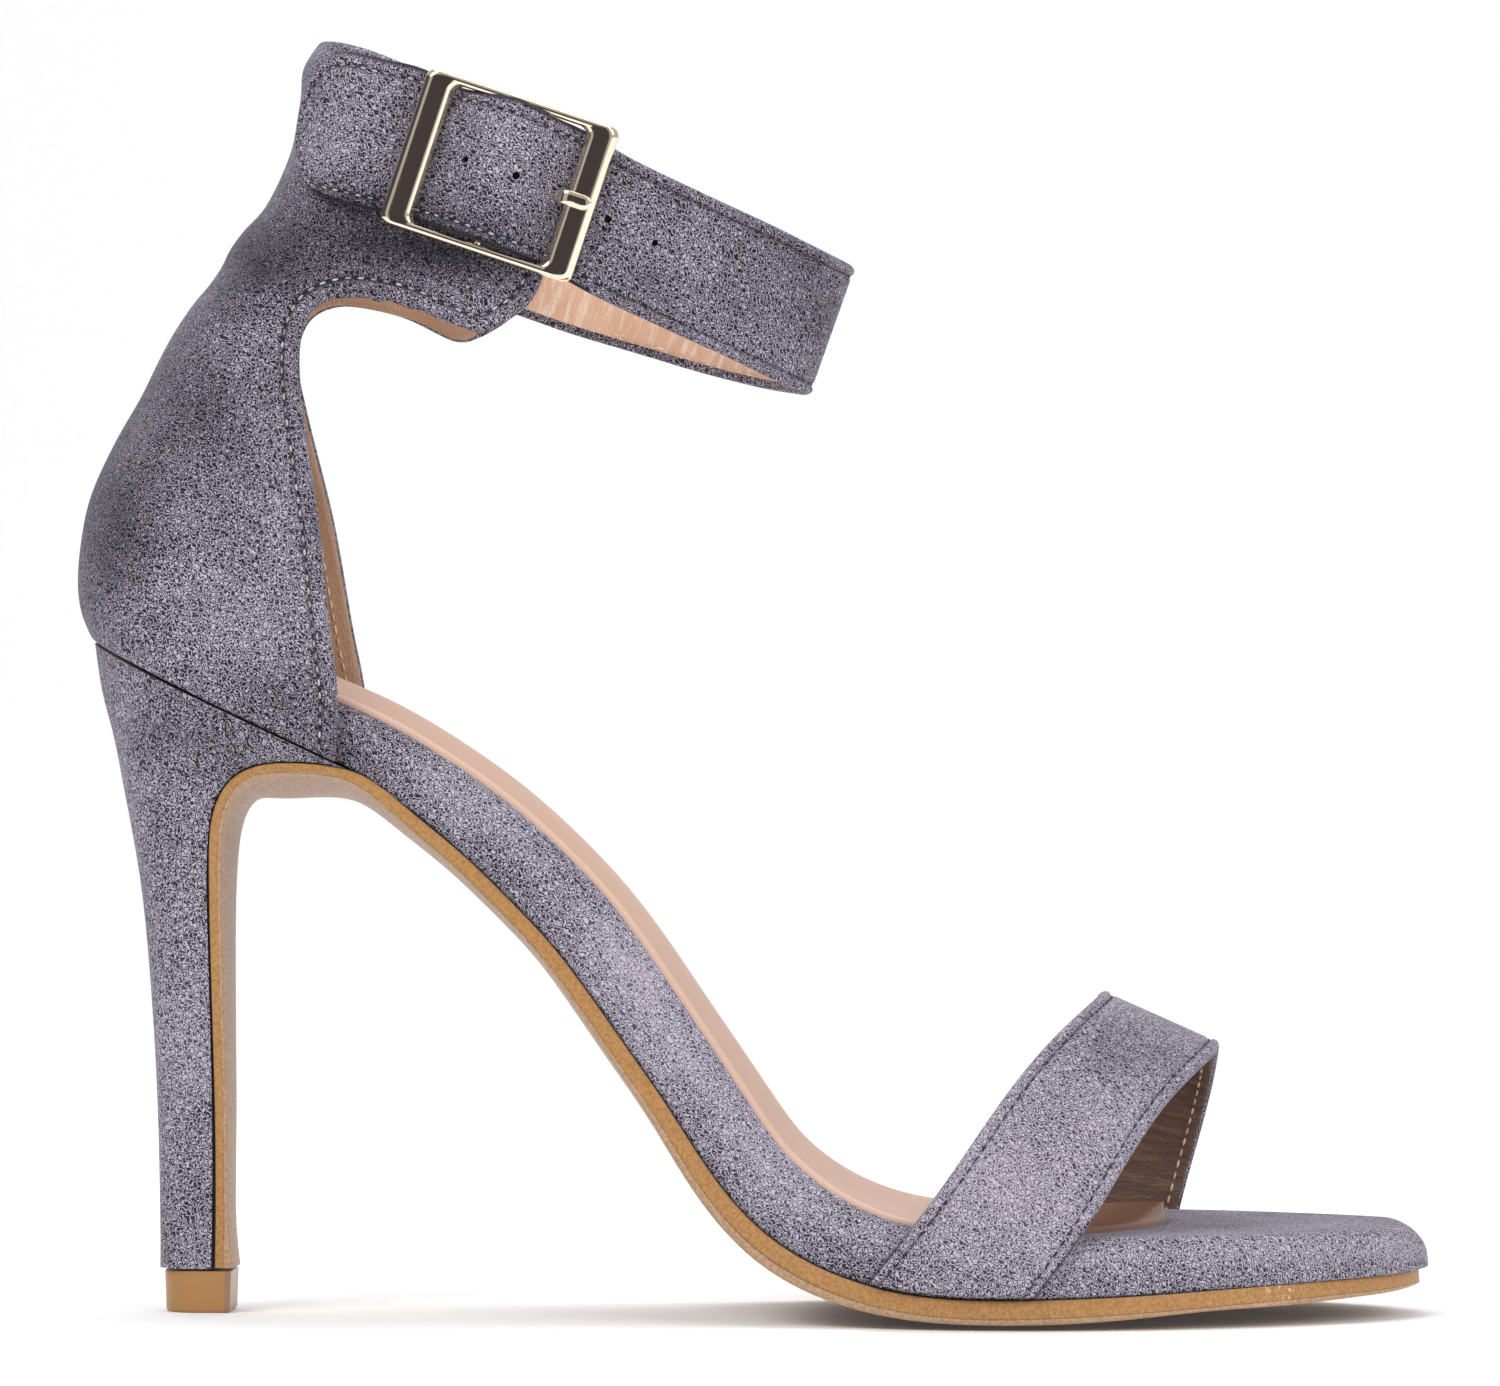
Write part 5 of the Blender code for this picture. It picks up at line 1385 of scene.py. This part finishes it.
# Near the base its folds stand clear of the bed, and the dark line they leave is a painted shadow along the
# edges
near_base = np.clip((20.0 - toe_middle[..., 2]) / 8.0, 0, 1)
groove = TOE_SEAM_PAINTED_SHADE * bell(toe_edge - TOE_SEAM, SEAM_SHADE)
groove = groove + BASE_EDGE_PAINTED_SHADOW * near_base * bell(toe_edge, EDGE_SHADE)
cut = np.stack([np.repeat(even[None], len(shares), axis=0), shares * width], axis=-1)
toe_make = (TOE_FOLD_OVER, TOE_STRAP_WALL, toe_lining)
toe_strap, toe_out, toe_in = folded_sheet(
    "toe_strap_band", toe_middle, toe_normal, toe_edge, groove, *toe_make, relief, cut, fullness
)
print("outward at the outer side:", np.round(toe_normal[20, 20], 2))

# %% [markdown]
# ## The buckle
# The frame is a plated casting: two broad flat end bars with polished chamfers and two thin side bars.
# Its strap slides over a centre bar, round which the prong is hooked. A section is swept round a
# rounded rectangle, as wide as the bar it passes, and the flats and chamfers are kept crisp.

# %% Buckle frame and centre bar
BUCKLE_X, BUCKLE_Z, BUCKLE_SLOPE = 71.3, 184.0, 18.4
FRAME_LENGTH, FRAME_HEIGHT = 32.5, 26.0
END_BAR, SIDE_BAR = 5.0, 1.4
FRAME_UNDER, FRAME_THICK = 2.9, 2.2
FRAME_CORNER = 1.6
CENTRE_BAR_RADIUS, CENTRE_BAR_LIFT = 0.6, 3.2
# Outer half of a bar: share of its width, share of its height
HALF_SECTION = (
    *((0.03, 0.0), (0.0, 0.06), (0.0, 0.52), (0.035, 0.66)),
    *((0.11, 0.88), (0.17, 0.965), (0.24, 0.99)),
)
ROUND_POINTS = 20
slope = math.radians(BUCKLE_SLOPE)
BUCKLE_AXES = np.array(
    [[math.cos(slope), 0, -math.sin(slope)], [math.sin(slope), 0, math.cos(slope)], [0, -1, 0]]
)
BUCKLE_AT = np.array([BUCKLE_X, -wall_half(np.array([BUCKLE_X]), np.array([BUCKLE_Z]))[0], BUCKLE_Z])


def on_buckle(points):
    """Points of the last from distances along the strap, across it and out from the counter."""
    return np.asarray(points, float) @ BUCKLE_AXES + BUCKLE_AT


def rounded_rectangle(length, height, radius):
    points = []
    for quarter in range(4):
        turn = quarter * np.pi / 2 + np.linspace(0, np.pi / 2, 12)
        middle = quarter * np.pi / 2 + np.pi / 4
        at_x = math.copysign(length / 2 - radius, math.cos(middle))
        at_y = math.copysign(height / 2 - radius, math.sin(middle))
        points += list(zip(at_x + radius * np.cos(turn), at_y + radius * np.sin(turn)))
    return np.array(points)


outside = rounded_rectangle(FRAME_LENGTH, FRAME_HEIGHT, FRAME_CORNER)
inside = rounded_rectangle(FRAME_LENGTH - 2 * END_BAR, FRAME_HEIGHT - 2 * SIDE_BAR, FRAME_CORNER)
mirrored = [(1 - share, high) for share, high in HALF_SECTION[::-1]]
share, high = np.array([*HALF_SECTION, (0.5, 1.0), *mirrored]).T
rings = np.empty((len(outside), len(share), 3))
rings[..., :2] = outside[:, None] + (inside - outside)[:, None] * share[None, :, None]
rings[..., 2] = FRAME_UNDER + FRAME_THICK * high
index = np.arange(rings[..., 0].size).reshape(rings.shape[:2])
index = np.concatenate([index, index[:, :1]], axis=1)
index = np.concatenate([index, index[:1]], axis=0)
bar_turn = np.linspace(0, 2 * np.pi, ROUND_POINTS, endpoint=False)
bar = [
    [(CENTRE_BAR_RADIUS * np.cos(t), y, CENTRE_BAR_LIFT + CENTRE_BAR_RADIUS * np.sin(t)) for t in bar_turn]
    for y in (-(FRAME_HEIGHT - SIDE_BAR) / 2, (FRAME_HEIGHT - SIDE_BAR) / 2)
]
bar_index = np.arange(2 * ROUND_POINTS).reshape(2, ROUND_POINTS) + rings[..., 0].size
bar_faces = grid_faces(np.concatenate([bar_index, bar_index[:, :1]], axis=1))
bar_faces += [bar_index[0].tolist(), bar_index[1].tolist()]
buckle_points = on_buckle(np.concatenate([rings.reshape(-1, 3), np.reshape(bar, (-1, 3))]))
buckle = make_piece("plated_buckle_frame", buckle_points, grid_faces(index) + bar_faces, [gold_plate])

# %% Prong hooked on the centre bar
PRONG_HALF_WIDTH, PRONG_HALF_THICK = 1.2, 0.4
HOOK_RADIUS = 1.2
PRONG_STATIONS = 90
# Distance along the strap, and out from the counter
PRONG_PATH = (
    (3.0, 1.9),
    (6.0, 1.6),
    (7.6, 1.8),
    (8.8, 2.9),
    (10.0, 4.5),
    (11.2, 5.9),
    (12.6, 6.0),
    (15.6, 6.0),
)
hook = np.radians(np.linspace(20.0, 270.0, 12))
hook_path = np.column_stack([HOOK_RADIUS * np.cos(hook), CENTRE_BAR_LIFT + HOOK_RADIUS * np.sin(hook)])
path = np.concatenate([hook_path, PRONG_PATH])
run = run_along(*path.T)
line = spline(run, path, np.linspace(0, run[-1], PRONG_STATIONS))
ahead = unit(np.gradient(line, axis=0))
left = np.linspace(run[-1], 0, PRONG_STATIONS)
taper = 0.25 + 0.75 * round_end(left, 1.6)
turn = bar_turn
wide = np.sign(np.cos(turn)) * np.abs(np.cos(turn)) ** 0.7 * PRONG_HALF_WIDTH
over_path = np.sign(np.sin(turn)) * np.abs(np.sin(turn)) ** 0.7 * PRONG_HALF_THICK
rings = np.empty((PRONG_STATIONS, ROUND_POINTS, 3))
rings[..., 0] = line[:, :1] - ahead[:, 1:] * over_path * taper[:, None]
rings[..., 1] = wide * taper[:, None]
rings[..., 2] = line[:, 1:] + ahead[:, :1] * over_path * taper[:, None]
prong = loft("plated_prong", on_buckle(rings), [gold_plate])

# %% [markdown]
# ## Stitches
# A machine seam is one short stitch after another along a line, so a node tree makes it: the line is
# cut at the pitch, a small capsule is set on every cut and turned along the line, and each capsule
# gets its own tone. Long lines of thread come from one tree with a few sizes to set.

# %% Node tree for a seam
STITCH_SEED = 7


def new_tree(name, floats):
    """Geometry tree with its geometry sockets, some numbers to set and a finish."""
    tree = bpy.data.node_groups.new(name, "GeometryNodeTree")
    tree.interface.new_socket("Geometry", in_out="OUTPUT", socket_type="NodeSocketGeometry")
    kinds = {"Geometry": "Geometry", **dict.fromkeys(floats, "Float"), "Finish": "Material"}
    for key, kind in kinds.items():
        tree.interface.new_socket(key, in_out="INPUT", socket_type="NodeSocket" + kind)
    return tree


def store(tree, shape, name, value, **settings):
    inputs = {"Geometry": shape, "Name": name, "Value": value}
    return step(tree, "GeometryNodeStoreNamedAttribute", inputs, **settings)["Geometry"]


def finish_tree(tree, shape, material, selection=True):
    """Set the material and hand the geometry out."""
    inputs = {"Geometry": shape, "Selection": selection, "Material": material}
    painted = step(tree, "GeometryNodeSetMaterial", inputs)["Geometry"]
    step(tree, "NodeGroupOutput", {"Geometry": painted})
    return tree


def make_seam_tree():
    tree = new_tree("seam", ("Stitch length", "Stitch width", "Pitch"))
    given = step(tree, "NodeGroupInput")
    line = step(tree, "GeometryNodeMeshToCurve", {"Mesh": given["Geometry"]})["Curve"]
    pitch = {"Curve": line, "Length": given["Pitch"]}
    cuts = step(tree, "GeometryNodeResampleCurve", pitch, mode="LENGTH")["Curve"]
    ball = step(tree, "GeometryNodeMeshUVSphere", {"Segments": 8, "Rings": 5, "Radius": 0.5})["Mesh"]
    thick = given["Stitch width"]
    size = step(tree, "ShaderNodeCombineXYZ", {"X": given["Stitch length"], "Y": thick, "Z": thick})["Vector"]
    capsule = step(tree, "GeometryNodeTransform", {"Geometry": ball, "Scale": size})["Geometry"]
    tangent = step(tree, "GeometryNodeInputTangent")["Tangent"]
    aim = step(tree, "FunctionNodeAlignRotationToVector", {"Vector": tangent}, axis="X")["Rotation"]
    placed = {"Points": cuts, "Instance": capsule, "Rotation": aim}
    spread = step(tree, "GeometryNodeInstanceOnPoints", placed)["Instances"]
    chance = step(tree, "FunctionNodeRandomValue", {"Seed": STITCH_SEED}, data_type="FLOAT")[1]
    toned = store(tree, spread, "tone", chance, data_type="FLOAT", domain="INSTANCE")
    real = step(tree, "GeometryNodeRealizeInstances", {"Geometry": toned})["Geometry"]
    smooth = step(tree, "GeometryNodeSetShadeSmooth", {"Geometry": real})["Geometry"]
    return finish_tree(tree, smooth, given["Finish"])


def run_tree(item, tree, settings):
    """Plain mesh that a node tree makes from an object; the object itself is removed."""
    run = item.modifiers.new("nodes", "NODES")
    run.node_group = tree
    for socket in tree.interface.items_tree:
        if socket.in_out == "INPUT" and socket.name in settings:
            run[socket.identifier] = settings[socket.name]
    graph = bpy.context.evaluated_depsgraph_get()
    seen = item.evaluated_get(graph)
    mesh = bpy.data.meshes.new_from_object(seen, preserve_all_data_layers=True, depsgraph=graph)
    name = item.name
    bpy.data.objects.remove(item)
    print(f"{name}: {len(mesh.polygons)} faces")
    return put(name, mesh)


def sew(name, paths, thread, length, width, pitch):
    """Stitches along lines of points of the last."""
    mesh = bpy.data.meshes.new(name)
    ends = np.cumsum([0] + [len(path) for path in paths])
    edges = [(i, i + 1) for low, high in zip(ends, ends[1:]) for i in range(low, high - 1)]
    mesh.from_pydata(to_frame(np.concatenate(paths)).tolist(), edges, [])
    sizes = {"Stitch length": length * MM, "Stitch width": width * MM, "Pitch": pitch * MM, "Finish": thread}
    return run_tree(put(name, mesh), seam_tree, sizes)


seam_tree = make_seam_tree()
print("nodes in the seam tree:", len(seam_tree.nodes))

# %% Seams of the upper
THREAD_LIFT = 0.06
FIRST_ROW, LAST_ROW = 4, len(LEVELS) - 1 - SEAM_STEP
BOTH_SEAMS = (SEAM_STEP, -1 - SEAM_STEP)


def counter_lines(points):
    return [points[FIRST_ROW:LAST_ROW, column] for column in BOTH_SEAMS]


def toe_lines(points):
    return [points[row, 2:-2] for row in BOTH_SEAMS]


counter_lift = counter_out + counter_normal * THREAD_LIFT
counter_stitches = sew("counter_seam", counter_lines(counter_lift), pale_thread, 1.15, 0.42, 2.1)
strap_seam = strap_out[SEAM_STEP] + strap_normal[SEAM_STEP] * THREAD_LIFT
tail = np.flatnonzero(on_tail[SEAM_STEP])
tail_stitches = sew("tail_seam", [strap_seam[tail[0] : tail[-1] + 1]], pale_thread, 1.05, 0.36, 2.0)
rest_seams = [strap_seam[: tail[0]], strap_seam[tail[-1] + 1 :]]
strap_stitches = sew("ankle_strap_seam", rest_seams, dark_thread, 1.15, 0.30, 2.0)
toe_lift = toe_out + toe_normal * THREAD_LIFT
toe_stitches = sew("toe_strap_seams", toe_lines(toe_lift), dark_thread, 1.3, 0.36, 2.1)

# %% [markdown]
# ## Holes for the prong
# The strap has a row of small punched holes. A second tree sets a punch on each marked spot, turns it
# along the strap's outward direction and cuts it away, and the faces that it leaves get the near-black
# finish of the heel's core as painted shade inside the holes.

# %% Punched holes in the ankle strap
HOLE_COLUMNS = ("x", "radius")
HOLE_ROWS = ((66.2, 0.55), (73.7, 0.62), (82.4, 1.1), (88.2, 0.6), (95.4, 0.55))
HOLES = columns(HOLE_COLUMNS, HOLE_ROWS)
HOLE_OFFSET = 0.7
# The punch stops short of the lining
PUNCH_LENGTH, PUNCH_REACH = 5.0, 0.6
# Rows of the strap's table from its tongue to the front of the ankle
HOLED_ROWS = 19


def stored(tree, name, kind):
    return step(tree, "GeometryNodeInputNamedAttribute", {"Name": name}, data_type=kind)["Attribute"]


def make_hole_tree():
    tree = new_tree("punched_holes", ("Punch length",))
    tree.interface.new_socket("Marks", in_out="INPUT", socket_type="NodeSocketObject")
    given = step(tree, "NodeGroupInput")
    marks = step(tree, "GeometryNodeObjectInfo", {"Object": given["Marks"]})["Geometry"]
    tube = {"Vertices": 14, "Radius": 1.0, "Depth": given["Punch length"]}
    punch = step(tree, "GeometryNodeMeshCylinder", tube)["Mesh"]
    flagged = store(tree, punch, "punched", True, data_type="BOOLEAN", domain="FACE")
    outward = {"Vector": stored(tree, "outward", "FLOAT_VECTOR")}
    aim = step(tree, "FunctionNodeAlignRotationToVector", outward, axis="Z")["Rotation"]
    radius = stored(tree, "radius", "FLOAT")
    size = step(tree, "ShaderNodeCombineXYZ", {"X": radius, "Y": radius, "Z": 1.0})["Vector"]
    placed = {"Points": marks, "Instance": flagged, "Rotation": aim, "Scale": size}
    spread = step(tree, "GeometryNodeInstanceOnPoints", placed)["Instances"]
    real = step(tree, "GeometryNodeRealizeInstances", {"Geometry": spread})["Geometry"]
    both = {"Mesh 1": given["Geometry"], "Mesh 2": real}
    cut = step(tree, "GeometryNodeMeshBoolean", both, operation="DIFFERENCE", solver="EXACT")["Mesh"]
    return finish_tree(tree, cut, given["Finish"], stored(tree, "punched", "BOOLEAN"))


middle_line = STRAP_LINES[len(STRAP_LINES) // 2]
hole_run = np.interp(HOLES["x"], middle_line[:HOLED_ROWS, 0], STRAP_KNOTS[:HOLED_ROWS])
across_hole = np.full(len(hole_run), HOLE_OFFSET)
outward = strap_outward(hole_run, across_hole, 0.5)
spots = strap_point(hole_run, across_hole) + outward * (PUNCH_LENGTH / 2 - PUNCH_REACH)
marks_mesh = bpy.data.meshes.new("hole_marks")
marks_mesh.from_pydata(to_frame(spots).tolist(), [], [])
marks_mesh.attributes.new("outward", "FLOAT_VECTOR", "POINT").data.foreach_set("vector", outward.ravel())
marks_mesh.attributes.new("radius", "FLOAT", "POINT").data.foreach_set("value", HOLES["radius"] * MM)
marks = put("hole_marks", marks_mesh)
# The walls of the holes get the near-black core finish as painted shade
punch_sizes = {"Punch length": PUNCH_LENGTH * MM, "Marks": marks, "Finish": heel_core}
ankle_strap = run_tree(ankle_strap, make_hole_tree(), punch_sizes)
bpy.data.objects.remove(marks)

# %% Seams on the lining side
LINING_LIFT = 0.08
lining_paths = counter_lines(counter_in - counter_normal * LINING_LIFT)
# On the ankle strap they show only along its free loop
strap_drop = strap_in[SEAM_STEP] - strap_normal[SEAM_STEP] * LINING_LIFT
on_loop = strap_drop[:, 0] > TAIL_X
for stretch in np.split(np.arange(len(on_loop)), np.flatnonzero(np.diff(on_loop)) + 1):
    if on_loop[stretch[0]]:
        lining_paths.append(strap_drop[stretch])
ankle_lining_stitches = sew("ankle_lining_seam", lining_paths, cream_thread, 1.6, 0.42, 2.1)
toe_drop = toe_in - toe_normal * LINING_LIFT
toe_lining_stitches = sew("toe_lining_seams", toe_lines(toe_drop), cream_thread, 1.5, 0.40, 2.1)

# %% [markdown]
# ## Bodies and what each piece stands for
# The shoe has no moving part, so every piece rides on the root body. A dressed piece replaces the CAD
# node whose place it takes.

DRESSED = (
    (bed, "bed_suede", "insole_bed"),
    (sock, "sock_lining", "sock"),
    (outsole, "outsole_tan", "outsole"),
    (heel, "heel_suede", "heel"),
    (tip, "tip_tan", "heel_tip"),
    (counter, "upper_suede", "counter_and_ankle_strap"),
    (ankle_strap, "upper_suede", "counter_and_ankle_strap"),
    (toe_strap, "toe_strap_suede", "toe_strap"),
    (buckle, "frame_metal", "buckle_frame"),
    (prong, "prong_metal", "buckle_prong"),
)
for piece, slot_name, cad_node in DRESSED:
    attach(piece, "root")
    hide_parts(cad_node)
# The sock is a thin sheet over foam
upper_stitches = (counter_stitches, tail_stitches, strap_stitches, toe_stitches)
lining_stitches = (ankle_lining_stitches, toe_lining_stitches)
for piece in upper_stitches + lining_stitches:
    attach(piece, "root")
print("pieces:", len(DRESSED) + len(upper_stitches) + len(lining_stitches))

# %% [markdown]
# ## Floor, light and camera
# The shoe stands on a pale sweep of paper under broad soft lamps. The camera looks at its outer side
# from far away through a long lens, as the photograph does, so its outline keeps the same shape.

# %% Studio
SWEEP_FRONT, SWEEP_BACK, SWEEP_RADIUS, SWEEP_TOP, SWEEP_HALF = -2.2, 0.9, 0.5, 2.2, 2.6
PAPER_STOPS = ((0.3, (0.95, 0.95, 0.955)), (0.7, (0.965, 0.965, 0.97)))
WHITE = (1.0, 1.0, 1.0)
# Dark flags behind the camera and at the left give the buckle's bars their dark mirror image
FLAGS = (
    ("flag_behind", ((-0.50, -1.75, -0.05), (0.14, -1.75, -0.05), (0.14, -1.75, 0.60), (-0.50, -1.75, 0.60))),
    ("flag_left", ((-1.0, 0.5, 0.02), (-1.0, -0.7, 0.02), (-1.0, -0.7, 0.75), (-1.0, 0.5, 0.75))),
)
WORLD_STRENGTH = 0.46
# Name, place, size and power of each soft lamp
LAMPS = (
    ("key_lamp", (-0.75, -1.0, 1.15), (0.9, 0.7), 12.0),
    ("fill_lamp", (0.95, -0.8, 0.75), (0.8, 0.8), 6.5),
    ("top_lamp", (0.1, 0.25, 1.35), (1.2, 0.7), 9.5),
)
LOOK_AT = Vector((-0.00028, 0.0, 0.101))


def make_paper():
    finish = Finish("paper")
    toned = finish.ramp(finish.noise(3.0), PAPER_STOPS)
    finish.shade(Base_Color=toned, Roughness=0.9, Specular_IOR_Level=0.1)
    finish.shade(Emission_Color=WHITE, Emission_Strength=0.03)
    # From behind, the paper is clear, so the shoe can be looked at from all round
    behind = finish.step("ShaderNodeNewGeometry")["Backfacing"]
    clear = finish.step("ShaderNodeBsdfTransparent")["BSDF"]
    sides = {0: behind, 1: finish.shader.outputs["BSDF"], 2: clear}
    both = finish.step("ShaderNodeMixShader", sides)["Shader"]
    feed(finish.tree, finish.tree.nodes["Material Output"].inputs["Surface"], both)
    return finish.material


def studio_sheet(name, points, faces, material):
    """Sheet of the studio, which is not a piece of the shoe."""
    mesh = bpy.data.meshes.new(name)
    mesh.from_pydata(points, [], faces)
    mesh.polygons.foreach_set("use_smooth", [True] * len(mesh.polygons))
    mesh.materials.append(material)
    return put(name, mesh)


bend = np.linspace(0, np.pi / 2, 16)
profile = [(SWEEP_FRONT, 0.0), (0.0, 0.0)]
profile += [(SWEEP_BACK + SWEEP_RADIUS * np.sin(t), SWEEP_RADIUS * (1 - np.cos(t))) for t in bend]
profile += [(SWEEP_BACK + SWEEP_RADIUS, SWEEP_TOP)]
paper_points = [(x, y, z) for y, z in profile for x in (-SWEEP_HALF, SWEEP_HALF)]
paper_faces = grid_faces(np.arange(len(paper_points)).reshape(-1, 2))
paper = studio_sheet("paper_sweep", paper_points, paper_faces, make_paper())
for name, corners in FLAGS:
    flag = studio_sheet(name, corners, [(0, 1, 2, 3)], heel_core)
    flag.visible_camera = False
world = bpy.data.worlds.new("studio")
world.use_nodes = True
sky = world.node_tree.nodes["Background"]
feed(world.node_tree, sky.inputs["Color"], WHITE)
feed(world.node_tree, sky.inputs["Strength"], WORLD_STRENGTH)
bpy.context.scene.world = world
for name, at, size, power in LAMPS:
    lamp = bpy.data.lights.new(name, "AREA")
    lamp.shape = "RECTANGLE"
    lamp.size, lamp.size_y = size
    lamp.energy = power
    item = put(name, lamp)
    item.location = at
    item.rotation_euler = (LOOK_AT - Vector(at)).to_track_quat("-Z", "Y").to_euler()
print("lamps:", len(LAMPS))

# %% Camera at the photograph's angle
AZIMUTH, ELEVATION, DISTANCE = math.radians(3.0), math.radians(0.3), 1.5
LENS, SENSOR = 220.9, 36.0
level = math.cos(ELEVATION)
away = Vector((math.sin(AZIMUTH) * level, -math.cos(AZIMUTH) * level, math.sin(ELEVATION)))
camera_data = bpy.data.cameras.new("camera")
camera_data.lens = LENS
camera_data.sensor_width = SENSOR
camera = put("camera", camera_data)
camera.location = LOOK_AT + away * DISTANCE
camera.rotation_euler = (-away).to_track_quat("-Z", "Y").to_euler()
bpy.context.scene.camera = camera
bpy.context.scene.view_settings.view_transform = "Standard"
print("lens in mm:", LENS)
